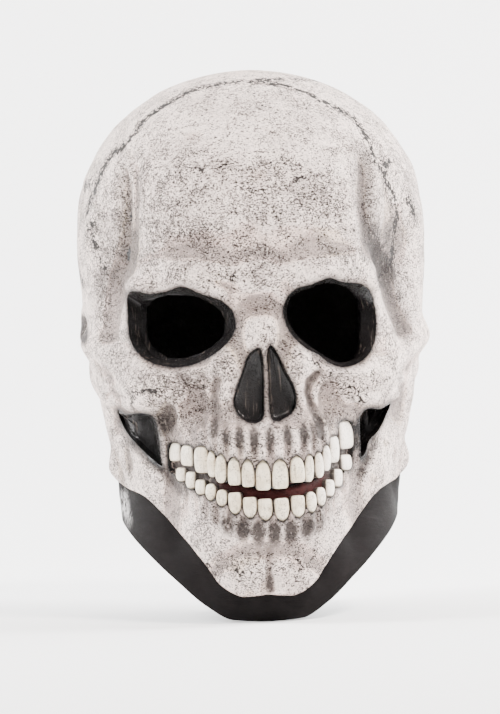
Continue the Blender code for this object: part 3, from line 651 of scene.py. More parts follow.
class Skin:
    """The mask's skin as it is built up: points in mm, faces, and each point's rim value.

    The rim value is the distance in mm outside a recess, negative inside it.
    """

    def __init__(self):
        self.points, self.faces, self.rims, self.count = [], [], [], 0

    def add_points(self, points, rim):
        points = np.asarray(points, float).reshape(-1, 3)
        self.points.append(points)
        self.rims.append(np.broadcast_to(rim, len(points)).astype(float))
        start, self.count = self.count, self.count + len(points)
        return np.arange(start, self.count)

    def add_ring_faces(self, ring, following):
        """Quads from a closed ring, run round the way its own faces run, to the next ring."""
        self.faces += np.stack([np.roll(ring, -1), ring, following, np.roll(following, -1)], axis=1).tolist()

    def zip_rings(self, ring, at, other, other_at):
        """Triangles between two closed rings of different counts, by their places round them."""
        i = j = 0
        at, other_at = list(at) + [at[0] + 1.0], list(other_at) + [other_at[0] + 1.0]
        while i < len(ring) or j < len(other):
            a, b = int(ring[i % len(ring)]), int(other[j % len(other)])
            if j >= len(other) or (i < len(ring) and at[i + 1] <= other_at[j + 1]):
                self.faces.append([int(ring[(i + 1) % len(ring)]), a, b])
                i += 1
            else:
                self.faces.append([a, b, int(other[(j + 1) % len(other)])])
                j += 1

    def add_grid(self, grid, signed, owners, crown_z, lining):
        """A layer of the head without what lies inside its outlines.

        Gives each outline's loop of points and the lowest ring.
        """
        used = signed >= 0
        ids = np.full(signed.shape, -1)
        ids[used] = self.add_points(grid[used], LINING if lining else signed[used])
        crown = int(self.add_points([[0, 0, crown_z]], LINING if lining else 30.0)[0])
        wide = np.concatenate([ids, ids[:, :1]], axis=1)
        value = np.concatenate([signed, signed[:, :1]], axis=1)
        names = np.stack([wide[:-1, :-1], wide[1:, :-1], wide[1:, 1:], wide[:-1, 1:]])
        corners = np.stack([value[:-1, :-1], value[1:, :-1], value[1:, 1:], value[:-1, 1:]])
        whole = (corners >= 0).all(axis=0) & (corners > 0).any(axis=0)
        faces = names[:, whole].T.tolist()
        halved = (corners > 0).any(axis=0) & (corners < 0).any(axis=0)
        for i, j in zip(*np.nonzero(halved)):
            kept = [int(names[k, i, j]) for k in range(4) if corners[k, i, j] >= 0]
            if len(kept) == 3:
                faces.append(kept)
        faces += [[crown, int(wide[0, j]), int(wide[0, j + 1])] for j in range(wide.shape[1] - 1)]
        loops = []
        for owner in owners:
            found = sorted(open_loops(faces, set(ids[owner].tolist())), key=len)
            if not found:
                raise ValueError("an outline on the face has no closed loop of points")
            loops.append(np.array(found.pop()))
            faces += [loop[::-1] for loop in found]
        self.faces += [face[::-1] for face in faces] if lining else faces
        return loops, ids[-1]


def open_loops(faces, on_outline):
    """Closed loops of open edges between points of the outline, the way their faces run."""
    edges = set()
    for face in faces:
        for p, q in zip(face, face[1:] + face[:1]):
            if p in on_outline and q in on_outline:
                edges.add((p, q))
    following = {}
    for p, q in sorted(edges):
        if (q, p) not in edges:
            following.setdefault(p, []).append(q)
    loops = []
    while following:
        path = [next(iter(following))]
        while True:
            ways = following.get(path[-1])
            if not ways:
                break
            step = ways.pop()
            if not ways:
                del following[path[-1]]
            if step in path:
                start = path.index(step)
                loops.append(path[start:])
                path = path[: start + 1]
                if start == 0:
                    break
            else:
                path.append(step)
    return [loop for loop in loops if len(loop) > 2]


def surface_columns(face_step, side_step, back_step):
    """Turns of the mesh columns from the back round the left, face and right, steps in mm."""
    reach, side_end = 0.9, math.radians(112)
    even = np.linspace(-1, 1, int(2 * reach * 90 / face_step) | 1)
    face = np.arcsin(reach * (0.78 * even + 0.22 * even**3))
    side = np.linspace(face[-1], side_end, int((side_end - face[-1]) * 95 / side_step) + 1)[1:]
    back = np.linspace(side_end, np.pi, int((np.pi - side_end) * 95 / back_step) + 1)[1:]
    half = np.concatenate([side, back])
    return np.concatenate([-half[::-1][1:], face, half])


def surface_rows(turns, step, raised, fine):
    """z of the rows from below the crown to the lower edge, or to a line raised above it.

    Fine rows lie closest over the teeth.
    """
    longest, dome_radius = CROWN - RIM[0][1], 90.0
    depths, depth = [], 0.0
    while depth < longest - 0.3 * step:
        share = np.interp(depth, (0, 92, 112, 174, 184, 238, 248), (1.5, 1.45, 1.1, 1.05, 0.74, 0.74, 1.05))
        grown = step * (share if fine else 1.0)
        depth += max(grown * min(1.0, math.sqrt(2 * depth / dome_radius)), grown * grown / (2 * dome_radius))
        depths.append(depth)
    share = np.array(depths) / depths[-1]
    return CROWN - (CROWN - rim_value(turns, 1) - raised)[None, :] * share[:, None]


def cut_grid(turn, z, outlines, fine):
    """Moves the grid's turn and z onto each outline where it crosses.

    Gives each point's distance outside them all and, for each outline, its own points.
    """
    x = head_point(turn, z, fine)[0]
    signed = np.full(x.shape, 30.0)
    owners = []
    for outline in outlines:
        low, high = outline.min(axis=0) - 9, outline.max(axis=0) + 9
        near = (x > low[0]) & (x < high[0]) & (z > low[1]) & (z < high[1]) & (np.abs(turn) < 1.5)
        mine, spot = np.full(x.shape, 30.0), np.zeros(x.shape + (2,))
        mine[near], spot[near] = outline_distance(x[near], z[near], outline)
        snap = np.zeros(x.shape, bool)
        taken = 100.0 * (signed == 0)
        for a, b in (
            ((slice(None), slice(None, -1)), (slice(None), slice(1, None))),
            ((slice(None, -1), slice(None)), (slice(1, None), slice(None))),
        ):
            crossing = mine[a] * mine[b] < 0
            first = np.abs(mine[a]) + taken[a] <= np.abs(mine[b]) + taken[b]
            snap[a] |= crossing & first
            snap[b] |= crossing & ~first
        x[snap], z[snap] = spot[snap].T
        turn[snap] = turn_at(x[snap], z[snap], fine)
        mine[snap] = 0.0
        signed = np.where((mine < 0) | ((np.abs(mine) < signed) & (signed >= 0)), mine, signed)
        owners.append(snap)
    return signed, owners


def head_normal(turn, z, fine=False):
    """Direction straight out of the outer surface."""
    ahead, behind = head_point(turn + 0.004, z, fine), head_point(turn - 0.004, z, fine)
    above, below = head_point(turn, z + 0.4, fine), head_point(turn, z - 0.4, fine)
    zero = np.zeros(np.shape(turn))
    across = np.stack([ahead[0] - behind[0], ahead[1] - behind[1], zero], axis=-1)
    up = np.stack([above[0] - below[0], above[1] - below[1], zero + 0.8], axis=-1)
    normal = np.cross(across, up)
    return normal / np.maximum(np.linalg.norm(normal, axis=-1, keepdims=True), 1e-9)


def drawn_in(ring, inset):
    """The ring moved towards its middle by inset, level by level."""
    middle = np.array([0.0, (ring[:, 1].min() + ring[:, 1].max()) / 2])
    spoke = ring[:, :2] - middle
    length = np.linalg.norm(spoke, axis=1, keepdims=True)
    moved = ring.copy()
    moved[:, :2] = middle + spoke * (1 - np.reshape(inset, (-1, 1)) / length)
    return moved


def lifted(ring, rise):
    """The ring moved up by rise."""
    moved = ring.copy()
    moved[:, 2] += rise
    return moved


def recess_rings(rim, eye, slope_in, floor_y, floor_slope):
    """Rings of points from a rim down its wall to the edge of the floor."""
    flat = rim[:, [0, 2]]
    middle = flat.mean(axis=0)
    if eye is None:
        tangent = np.roll(flat, -2, axis=0) - np.roll(flat, 2, axis=0)
        normal = np.stack([-tangent[:, 1], tangent[:, 0]], axis=1)
        normal /= np.maximum(np.linalg.norm(normal, axis=1, keepdims=True), 1e-6)
        target = flat + normal * slope_in * np.sign(((middle - flat) * normal).sum())
    else:
        angle = np.arctan2(eye[:, 1] - middle[1], eye[:, 0] - middle[0])
        order = np.argsort(angle)
        angles = np.concatenate([angle[order] + turn for turn in (-2 * np.pi, 0, 2 * np.pi)])
        ring = np.tile(eye[order], (3, 1))
        mine = np.arctan2(flat[:, 1] - middle[1], flat[:, 0] - middle[0])
        target = np.stack([np.interp(mine, angles, ring[:, k]) for k in (0, 1)], axis=1)
    deep = np.maximum(floor_y + floor_slope * np.abs(target[:, 0]), rim[:, 1] + 5.0)
    for _ in range(30):
        deep = (np.roll(deep, 1) + 2 * deep + np.roll(deep, -1)) / 4
    rings = []
    for share in (0.0, 0.03, 0.08, 0.16, 0.27, 0.4, 0.54, 0.68, 0.82, 0.93, 1.0):
        draw = 0.03 + 0.97 * share
        spot = flat * (1 - draw) + target * draw
        y = rim[:, 1] + 0.12 + (deep - rim[:, 1] - 0.12) * share
        rings.append(np.stack([spot[:, 0], y, spot[:, 1]], axis=1))
    return rings


def mouth_rings(gum):
    """Rings from the line of the gums into the trough, over its floor and up to the slit."""
    out = arch_out(gum[:, 0])
    deep = gum.copy()
    deep[:, :2] -= out * TROUGH_DEPTH
    slit_x = np.clip(gum[:, 0], -SLIT_REACH, SLIT_REACH)
    gap = 0.5 * np.sqrt(np.clip(1 - (slit_x / (SLIT_REACH + 0.5)) ** 2, 0.01, 1))
    slit_z = bite_z(slit_x) + SLIT_RISE + np.where(gum[:, 2] > bite_z(gum[:, 0]), gap, -gap)
    walls = ((0.1, -0.4), (0.5, -0.6), (0.95, 0.6))
    rings = [(gum * (1 - share) + deep * share, rim) for share, rim in walls]
    for share in (0.04, 0.2, 0.36, 0.52, 0.68, 0.84, 1.0):
        x, z = deep[:, 0] * (1 - share) + slit_x * share, deep[:, 2] * (1 - share) + slit_z * share
        middle, half = bite_gap(x)
        rings.append((np.stack([x, arch_y(x) + TROUGH_DEPTH, z], axis=1), np.abs(z - middle) - half))
    return rings


def from_left(loop, points):
    """The loop begun at its leftmost point, with each point's share of the way round."""
    start = int(np.argmin(points[:, 0]))
    loop, points = np.roll(loop, -start), np.roll(points, -start, axis=0)
    steps = np.linalg.norm(np.roll(points, -1, axis=0) - points, axis=1)
    return loop, np.concatenate([[0], np.cumsum(steps)[:-1]]) / steps.sum()


def slit_outline():
    """Opening left in the lining behind the slit."""
    at = np.linspace(-SLIT_REACH - 3, SLIT_REACH + 3, 24)
    height = 5.0 * np.sqrt(np.clip(1 - (at / (SLIT_REACH + 4)) ** 2, 0.05, 1))
    above = np.stack([at, bite_z(at) + SLIT_RISE + height], axis=1)
    below = np.stack([at, bite_z(at) + SLIT_RISE - height], axis=1)
    return np.concatenate([above, below[::-1]])


def behind_recesses(grid, wall):
    """The lining pushed back so that it clears every recess by the wall."""
    flat = grid.reshape(-1, 3).copy()
    ahead = flat[:, 1] < -20
    spots = flat[ahead]
    y = spots[:, 1].copy()
    for _, rim, _, floor_y, floor_slope in RECESSES:
        away = outline_distance(spots[:, 0], spots[:, 2], smooth_outline(rim))[0]
        floor = np.maximum(floor_y + floor_slope * np.abs(spots[:, 0]), spots[:, 1] - wall + 5.0) + wall
        y = np.where(away < 6.0, np.maximum(y, floor), y)
    away = outline_distance(spots[:, 0], spots[:, 2], smooth_outline(mouth_outline(), 2))[0]
    floor = arch_y(np.clip(spots[:, 0], -47, 47)) + TROUGH_DEPTH + 1.0 + wall
    flat[ahead, 1] = np.where(away < 5.0, np.maximum(y, floor), y)
    return flat.reshape(grid.shape)


def hollows(grid, normal, reach):
    """How far each point stands out of the surface round it, in mm, negative in a hollow."""
    soft = grid
    for _ in range(2):
        soft = sum(np.roll(soft, k, axis=1) for k in range(-reach, reach + 1)) / (2 * reach + 1)
        tall = np.concatenate([soft[:1]] * reach + [soft] + [soft[-1:]] * reach)
        soft = sum(tall[k: k + len(grid)] for k in range(2 * reach + 1)) / (2 * reach + 1)
    return ((grid - soft) * normal).sum(axis=-1)


def build_skin(cell, wall):
    """The whole skin: outside, recesses, mouth, rolled lower edge and lining. Gives mm."""
    skin = Skin()
    outlines = [smooth_outline(rim) for _, rim, *_ in RECESSES] + [smooth_outline(mouth_outline(), 4)]
    turns = surface_columns(cell, 2.1, 4.2)
    z = surface_rows(turns, cell, 0.0, True)
    turn = np.broadcast_to(turns, z.shape).copy()
    signed, owners = cut_grid(turn, z, outlines, True)
    grid = np.stack([*head_point(turn, z, True), z], axis=-1)
    loops, lowest = skin.add_grid(grid, signed, owners, CROWN, False)
    normal = head_normal(turn, z, True)
    bumps = [np.append(hollows(grid, normal, reach)[signed >= 0], 0.0) for reach in BUMP_REACHES]
    points = skin.points[0]
    ends = {}
    for (name, _, floor, floor_y, floor_slope), loop in zip(RECESSES, loops):
        eye = smooth_outline(floor) if isinstance(floor, tuple) else None
        rings = recess_rings(points[loop], eye, 0.0 if eye is not None else floor, floor_y, floor_slope)
        last = loop
        for k, ring in enumerate(rings):
            ids = skin.add_points(ring, -0.3 - 1.6 * k)
            skin.add_ring_faces(last, ids)
            last = ids
        if eye is not None:
            ends[name] = from_left(last, rings[-1])
            continue
        middle = rings[-1].mean(axis=0)
        middle[1] += 1.0
        for share in (0.9, 0.75, 0.6, 0.45, 0.3, 0.15):
            ring = middle * (1 - share) + rings[-1] * share
            ring[:, 1] = middle[1] + (rings[-1][:, 1] - middle[1]) * share**3
            ids = skin.add_points(ring, -18.0)
            skin.add_ring_faces(last, ids)
            last = ids
        centre = int(skin.add_points([middle], -18.0)[0])
        skin.faces += [[int(q), int(p), centre] for p, q in zip(last, np.roll(last, -1))]
    last = loops[-1]
    for ring, rim in mouth_rings(points[last]):
        ids = skin.add_points(ring, rim)
        skin.add_ring_faces(last, ids)
        last = ids
    ends["slit"] = from_left(last, ring)

    edge, lip, last = grid[-1], rim_value(turns, 2), lowest
    for rise, inset, rim in (
        (-0.45, 0.2, 20.0), (-0.85, 0.9, 8.0), (-0.8, 1.9, 2.0), (-0.4, EDGE_ROLL, 0.6),
        (0.2 * LIP_RISE, 0.7 * EDGE_ROLL + 0.3 * lip, -1.0),
        (0.6 * LIP_RISE, 0.3 * EDGE_ROLL + 0.7 * lip, -3.0),
        (LIP_RISE, lip, LINING), (LIP_RISE + wall, lip, LINING),
    ):
        ids = skin.add_points(drawn_in(lifted(edge, rise), inset), rim)
        skin.add_ring_faces(last, ids)
        last = ids
    neck, neck_at = last, (turns + np.pi) / (2 * np.pi)

    turns = surface_columns(3.3, 6.0, 10.0)
    z = surface_rows(turns, 3.3, wall + 2.5, False)
    turn = np.broadcast_to(turns, z.shape).copy()
    openings = [smooth_outline(EYE_LEFT), smooth_outline(EYE_RIGHT), slit_outline()]
    signed, owners = cut_grid(turn, z, openings, True)
    grid = np.stack([*head_point(turn, z, True), z], axis=-1) - head_normal(turn, z, True) * wall
    grid = behind_recesses(grid, wall)
    loops, lowest = skin.add_grid(grid, signed, owners, CROWN - wall, True)
    points = np.concatenate(skin.points)
    edge = np.stack([*head_point(turns, rim_value(turns, 1)), rim_value(turns, 1)], axis=1)
    ring = drawn_in(lifted(edge, wall + LIP_RISE + 0.4), rim_value(turns, 2) + 0.1)
    ids = skin.add_points(ring, LINING)
    skin.add_ring_faces(lowest[::-1], ids[::-1])
    skin.zip_rings(neck, neck_at, ids, (turns + np.pi) / (2 * np.pi))
    for name, loop in zip(("orbit_left", "orbit_right", "slit"), loops):
        skin.zip_rings(*ends[name], *from_left(loop, points[loop]))
    return np.concatenate(skin.points), skin.faces, np.concatenate(skin.rims), bumps


def front_path(path):
    """Points of a front-view line laid on the head, smoothed."""
    flat = open_curve(np.array(path, float), 5)
    turn = turn_at(flat[:, 0], flat[:, 1], True)
    return np.stack([*head_point(turn, flat[:, 1], True), flat[:, 1]], axis=1)


def open_curve(points, per_step):
    """Catmull-Rom curve through the points, open at both ends."""
    p = np.vstack([2 * points[0] - points[1], points, 2 * points[-1] - points[-2]])
    t = np.linspace(0, 1, per_step, endpoint=False)[:, None]
    pieces = [catmull_rom(a, b, c, d, t) for a, b, c, d in zip(p, p[1:], p[2:], p[3:])]
    return np.vstack(pieces + [points[-1:]])


def line_values(points, normals, lines):
    """Signed distance to the nearest drawn line and that line's half width there, in mm."""
    signed, wide = np.full(len(points), 4.0), np.zeros(len(points))
    for line, half_width in lines:
        low, high = line.min(axis=0) - 4, line.max(axis=0) + 4
        near = np.nonzero(((points > low) & (points < high)).all(axis=1))[0]
        if not len(near):
            continue
        a, run = line[:-1], np.diff(line, axis=0)
        length = np.linalg.norm(run, axis=1)
        before = np.concatenate([[0], np.cumsum(length)])
        for part in np.array_split(near, max(1, len(near) // 3000)):
            q = points[part][:, None, :]
            t = np.clip(((q - a) * run).sum(-1) / np.maximum(length**2, 1e-9), 0, 1)
            gap = q - a - run * t[..., None]
            upright = (gap * normals[part][:, None, :]).sum(-1, keepdims=True)
            gap = gap - upright * normals[part][:, None, :]
            distance = np.linalg.norm(gap, axis=-1) + np.maximum(0, np.abs(upright[..., 0]) - 3)
            best = distance.argmin(axis=1)
            rows = np.arange(len(part))
            side = (np.cross(run[best], gap[rows, best]) * normals[part]).sum(-1)
            away = distance[rows, best]
            along = before[best] + t[rows, best] * length[best]
            taper = np.clip(np.minimum(along, before[-1] - along) / 5.0, 0.25, 1)
            closer = away < np.abs(signed[part])
            chosen = part[closer]
            signed[chosen] = (np.where(side < 0, -1, 1) * away)[closer]
            wide[chosen] = (half_width * taper)[closer]
    return signed, wide


def patches(x, z, table):
    """Sum of soft elliptical patches."""
    total = np.zeros(np.shape(x))
    for x0, z0, radius_x, radius_z, strength in table:
        total += strength * dome(x - x0, z - z0, radius_x * 1.3, radius_z * 1.3)
    return total


def paint_values(points, normals, bumps, rims):
    """Values of the paint at each point of the skin, as named lists for the material."""
    x, y, z = points.T
    # Painted shade in the hollows and painted highlight on the heights, from how far each point stands out
    # of the surface round it
    outside = len(bumps[0])
    relief_shading = np.zeros(len(points))
    relief_shading[:outside] = 1.6 * bumps[0] + 0.55 * (bumps[1] - 0.15) + 0.22 * (bumps[2] - 0.5)
    facing = ramp(-normals[:, 1], -0.1, 0.4)
    wash_and_shade = np.zeros(len(points))
    # Painted shade along the grooves, with the airbrushed wash
    for name, radius, _, path in GROOVES:
        strength = WASH_AND_SHADE_GROOVES.get(name, 0.4)
        groove = np.clip(1 - (distance_to_path(x, z, path) / (radius * 1.15)) ** 2, 0, None)
        wash_and_shade += strength * groove**1.5 * facing * (ramp(z, -34, -60) if "temple" in name else 1)
    # Dark between the ridges over the roots: airbrushed wash and painted shade
    for teeth, way, length, away in ((UPPER_TEETH, 1, 9.5, 10.0), (LOWER_TEETH, -1, 8.0, 6.5)):
        for one, other in zip(teeth[2:], teeth[3:-1]):
            middle = (one[0] + one[1] / 2 + other[0] - other[1] / 2) / 2
            gum = (one[2] + other[2]) / 2 + way * away
            strength = 1.0 * (1 - ramp(abs(middle - 2), 16, 34)) + 0.25
            wash_and_shade += strength * dome(x - middle, z - gum, 3.2 + 1.2 * (way < 0), length) ** 0.5 * facing
    wash_and_shade += patches(x, z, DARK_PATCHES) * facing
    # Painted shade in the deep hollows of the sides
    side = ramp(np.abs(normals[:, 0]), 0.35, 0.8)
    for _, y0, z0, radius_y, radius_z, tilt, rise in SIDE_FORMS:
        if rise < -3:
            wash_and_shade += -0.07 * rise * dome(y - y0, z - z0, radius_y * 0.8, radius_z * 0.8, tilt) * side
    specks = 0.5 + 0.4 * ramp(z, -35, -60) * (1 - ramp(z, -98, -118)) + 0.15 * ramp(z, -120, -150)
    specks -= 0.15 * ramp(z, -222, -240)
    specks -= 0.35 * patches(x, z, CLEAR)
    specks += patches(x, z, SPECKLED) * facing
    lines = [(front_path(path), SUTURE_HALF_WIDTH) for path in SUTURES]
    lines += [(front_path(path), CRACK_HALF_WIDTH) for path in CRACKS]
    for path in HIDDEN_SUTURES:
        flat = open_curve(np.array(path, float), 6)
        turn = np.radians(flat[:, 0])
        line = np.stack([*head_point(turn, flat[:, 1], True), flat[:, 1]], axis=1)
        lines.append((line, HIDDEN_HALF_WIDTH))
    crack, crack_width = line_values(points, normals, lines)
    crack_width[outside:] = 0
    # A line on a side that falls away is drawn wider, so that it still shows from the front
    crack *= np.interp(-normals[:, 1], (-1, -0.2, 0.15, 1), (0.8, 0.5, 0.3, 1))
    specks += 0.45 * np.clip(1 - np.abs(crack) / 4.0, 0, 1) * (crack_width > 0.5)
    red = (np.abs(z - bite_z(x)) < 9) * ramp(x, -27, -20) * (1 - ramp(x, 28, 34)) * (y < -100)
    # The trough floor behind the teeth gets painted shade, darkest in the gap between the rows
    floor = (np.arange(len(points)) >= outside) & (np.abs(y - arch_y(x) - TROUGH_DEPTH) < 0.6) & (y < -70)
    middle, half = bite_gap(x)
    floor &= (np.abs(z - middle) < 20) & (np.abs(x) < 52)
    front = facing * (np.arange(len(points)) < outside)
    spread = 2.2 * patches(x, z, BLACK_SPREAD) * front
    return {
        "rim": np.where(floor, 8.0, rims - spread * (rims < 6)),
        "wash_and_shade": np.where(
            floor, 1.15 - 0.2 * ramp(np.abs(z - middle), half, half + 2.5),
            np.clip(wash_and_shade, 0, 1.2) * (np.arange(len(points)) < outside),
        ),
        "dirt": np.clip(patches(x, z, STAINS), 0, 1.2) * front + 0.35 * (1 - front),
        "warm": np.clip(patches(x, z, WARM), 0, 1) * facing + 0.3 * (1 - facing),
        "specks": np.clip(specks, 0, 1),
        "relief_shading": np.clip(relief_shading, -1.5, 1.5),
        "crack": crack,
        "crack_width": crack_width,
        "red": red * (np.arange(len(points)) >= outside),
    }


def make_object(name, points, faces, material=None, values=None):
    """Object with points in mm, its faces turned outward and its paint values as attributes."""
    mesh = bpy.data.meshes.new(name)
    mesh.from_pydata((np.asarray(points) * MM).tolist(), [], faces)
    for key, value in (values or {}).items():
        layer = mesh.attributes.new(key, "FLOAT", "POINT")
        layer.data.foreach_set("value", np.asarray(value, np.float32))
    work = bmesh.new()
    work.from_mesh(mesh)
    bmesh.ops.triangulate(work, faces=[f for f in work.faces if len(f.verts) > 4])
    bmesh.ops.recalc_face_normals(work, faces=work.faces)
    work.to_mesh(mesh)
    work.free()
    mesh.shade_smooth()
    if material:
        mesh.materials.append(material)
    obj = bpy.data.objects.new(name, mesh)
    bpy.context.scene.collection.objects.link(obj)
    return obj


def vertex_normals(points, faces):
    """Normals of the points, from a throwaway mesh."""
    mesh = bpy.data.meshes.new("normals")
    mesh.from_pydata(points.tolist(), [], faces)
    normals = np.empty(len(points) * 3, np.float32)
    mesh.vertex_normals.foreach_get("vector", normals)
    bpy.data.meshes.remove(mesh)
    return normals.reshape(-1, 3)


class Nodes:
    """A node tree being written: each method adds a node and gives its output."""

    def __init__(self, tree):
        self.tree = tree

    def add(self, kind, inputs=None, **settings):
        node = self.tree.nodes.new(kind)
        for key, value in settings.items():
            setattr(node, key, value)
        for key, value in (inputs or {}).items():
            self.put(value, node.inputs[key])
        return node

    def put(self, value, socket):
        if isinstance(value, bpy.types.NodeSocket):
            self.tree.links.new(value, socket)
        else:
            socket.default_value = value

    def math(self, operation, a, b=0.0, clamp=False):
        return self.add("ShaderNodeMath", {0: a, 1: b}, operation=operation, use_clamp=clamp).outputs[0]

    def rise(self, value, low, high, top=1.0):
        """0 at low and top at high, smooth between."""
        inputs = {"Value": value, "From Min": low, "From Max": high, "To Max": top}
        node = self.add("ShaderNodeMapRange", inputs, interpolation_type="SMOOTHSTEP")
        return node.outputs["Result"]

    def scaled(self, vector, scale):
        return self.add("ShaderNodeVectorMath", {0: vector, 3: scale}, operation="SCALE").outputs[0]

    def times_plus(self, a, b, c):
        """a times b plus c."""
        return self.add("ShaderNodeMath", {0: a, 1: b, 2: c}, operation="MULTIPLY_ADD").outputs[0]

    def times(self, a, b, clamp=False):
        return self.math("MULTIPLY", a, b, clamp)

    def plus(self, a, b, clamp=False):
        return self.math("ADD", a, b, clamp)

    def minus(self, a, b, clamp=False):
        return self.math("SUBTRACT", a, b, clamp)

    def noise(self, where, scale, detail=2.0, roughness=0.5):
        inputs = {"Vector": where, "Scale": scale, "Detail": detail, "Roughness": roughness}
        return self.add("ShaderNodeTexNoise", inputs).outputs["Fac"]

    def stretched(self, where, turn, scale):
        return self.add("ShaderNodeMapping", {"Vector": where, "Rotation": turn, "Scale": scale}).outputs[0]

    def mix(self, share, a, b, blend="MIX"):
        node = self.add("ShaderNodeMix", data_type="RGBA", blend_type=blend)
        self.put(share, node.inputs[0])
        self.put(a if isinstance(a, bpy.types.NodeSocket) else (*a, 1.0), node.inputs[6])
        self.put(b if isinstance(b, bpy.types.NodeSocket) else (*b, 1.0), node.inputs[7])
        return node.outputs[2]

    def value(self, name):
        return self.add("ShaderNodeAttribute", attribute_name=name).outputs["Fac"]

    def millimetres(self):
        """Object coordinates in mm."""
        where = self.add("ShaderNodeTexCoord").outputs["Object"]
        return self.scaled(where, 1000.0)


def shader_group(name, inputs, outputs):
    """New shader node group with its sockets, as its writer, its input node and its output node."""
    tree = bpy.data.node_groups.new(name, "ShaderNodeTree")
    for label, kind, default in inputs:
        socket = tree.interface.new_socket(label, in_out="INPUT", socket_type=kind)
        if default is not None:
            socket.default_value = default
    for label, kind in outputs:
        tree.interface.new_socket(label, in_out="OUTPUT", socket_type=kind)
    nodes = Nodes(tree)
    return nodes, nodes.add("NodeGroupInput").outputs, nodes.add("NodeGroupOutput").inputs


FLOAT, VECTOR = "NodeSocketFloat", "NodeSocketVector"


def sponge_group():
    """Paint dabbed on with a sponge: soft blotches, dark pits and short dashes, and their height."""
    made = bpy.data.node_groups.get("sponged_paint")
    if made:
        return made
    nodes, into, out = shader_group(
        "sponged_paint",
        (("Position", VECTOR, None), ("Density", FLOAT, 0.5), ("Grain", FLOAT, 1.0)),
        (("Blotch", FLOAT), ("Pits", FLOAT), ("Lip", FLOAT), ("Height", FLOAT)),
    )
    where = nodes.scaled(into["Position"], into["Grain"])
    wobble = nodes.add("ShaderNodeTexNoise", {"Vector": where, "Scale": 0.5, "Detail": 2.0}).outputs["Color"]
    bend = {0: wobble, 1: (1.6, 1.6, 1.6), 2: where}
    bent = nodes.add("ShaderNodeVectorMath", bend, operation="MULTIPLY_ADD").outputs[0]
    cluster = nodes.rise(nodes.noise(where, 0.085, 3.0, 0.6), 0.4, 0.62)
    density = nodes.times(into["Density"], nodes.times_plus(cluster, 1.0, 0.5))
    pits = glow = None
    for turn, scale, size, radius in (
        ((0.2, 0.3, 0.7), (0.6, 1.2, 1.2), 0.85, 0.32),
        ((0.3, -0.2, -0.8), (0.65, 1.15, 1.15), 0.74, 0.34),
        ((0.1, 0.5, 0.1), (1.0, 0.8, 1.0), 1.15, 0.34),
        ((0.5, 0.1, 1.3), (0.7, 1.1, 1.1), 0.46, 0.22),
    ):
        place = nodes.stretched(bent, turn, scale)
        cell = nodes.add("ShaderNodeTexVoronoi", {"Vector": place, "Scale": size})
        chance = nodes.add("ShaderNodeSeparateColor", {0: cell.outputs["Color"]}).outputs
        shown = nodes.rise(nodes.minus(density, chance[0]), 0.0, 0.12)
        reach = nodes.times(nodes.times_plus(chance[1], 0.6, 0.65), radius)
        away = nodes.minus(cell.outputs["Distance"], reach)
        one = nodes.times(nodes.rise(away, 0.04, -0.06), shown)
        ring = nodes.times(nodes.rise(away, 0.2, 0.05), shown)
        pits = one if pits is None else nodes.math("MAXIMUM", pits, one)
        glow = ring if glow is None else nodes.math("MAXIMUM", glow, ring)
    curl = nodes.minus(nodes.noise(bent, 0.42, 2.0, 0.6), 0.5)
    curl = nodes.rise(nodes.math("ABSOLUTE", curl), 0.034, 0.012)
    here = nodes.plus(nodes.noise(where, 0.3, 3.0, 0.6), nodes.times(density, 0.16))
    pits = nodes.math("MAXIMUM", pits, nodes.times(curl, nodes.rise(here, 0.62, 0.68)))
    nodes.put(pits, out["Pits"])
    nodes.put(nodes.minus(glow, pits, True), out["Lip"])
    fine = nodes.noise(where, 1.5, 3.0, 0.6)
    nodes.put(nodes.noise(where, 0.09, 5.0, 0.65), out["Blotch"])
    height = nodes.minus(nodes.times(fine, 0.5), nodes.times(pits, 0.8))
    nodes.put(height, out["Height"])
    return nodes.tree


def line_group():
    """A drawn line from its signed distance and half width: its cover, with a shaky hand."""
    made = bpy.data.node_groups.get("drawn_line")
    if made:
        return made
    nodes, into, out = shader_group(
        "drawn_line",
        (
            ("Position", VECTOR, None), ("Distance", FLOAT, 4.0), ("Half width", FLOAT, 0.0),
            ("Shake", FLOAT, 0.8),
        ),
        (("Cover", FLOAT),),
    )
    shake = nodes.minus(nodes.noise(into["Position"], 0.46, 1.0, 0.5), 0.5)
    swing = nodes.times(into["Shake"], 7.5)
    moved = nodes.plus(into["Distance"], nodes.times(shake, swing))
    away = nodes.math("ABSOLUTE", moved)
    press = nodes.rise(nodes.noise(into["Position"], 0.2, 2.0), 0.28, 0.5, 1.5)
    wide = nodes.times(into["Half width"], press)
    cover = nodes.rise(nodes.minus(wide, away), -0.15, 0.15)
    nodes.put(nodes.times(cover, nodes.rise(wide, 0.03, 0.12)), out["Cover"])
    return nodes.tree


def edge_group():
    """Ragged edge of a coat of paint from a distance in mm: 1 inside the edge, 0 outside."""
    made = bpy.data.node_groups.get("paint_edge")
    if made:
        return made
    nodes, into, out = shader_group(
        "paint_edge",
        (
            ("Position", VECTOR, None), ("Distance", FLOAT, 5.0), ("Reach", FLOAT, 0.4),
            ("Softness", FLOAT, 0.8),
        ),
        (("Cover", FLOAT),),
    )
    ragged = nodes.minus(nodes.noise(into["Position"], 0.5, 4.0, 0.7), 0.5)
    fray = nodes.times(into["Softness"], 2.5)
    moved = nodes.plus(into["Distance"], nodes.times(ragged, fray))
    low = nodes.minus(into["Reach"], into["Softness"])
    bare = nodes.rise(moved, low, nodes.plus(into["Reach"], into["Softness"]))
    nodes.put(nodes.minus(1.0, bare), out["Cover"])
    return nodes.tree


def new_material(name, roughness, specular=0.4):
    """Material with its shader, as the material, its node writer and the shader."""
    made = bpy.data.materials.new(name)
    made.use_nodes = True
    shader = made.node_tree.nodes["Principled BSDF"]
    shader.inputs["Roughness"].default_value = roughness
    shader.inputs["Specular IOR Level"].default_value = specular
    return made, Nodes(made.node_tree), shader


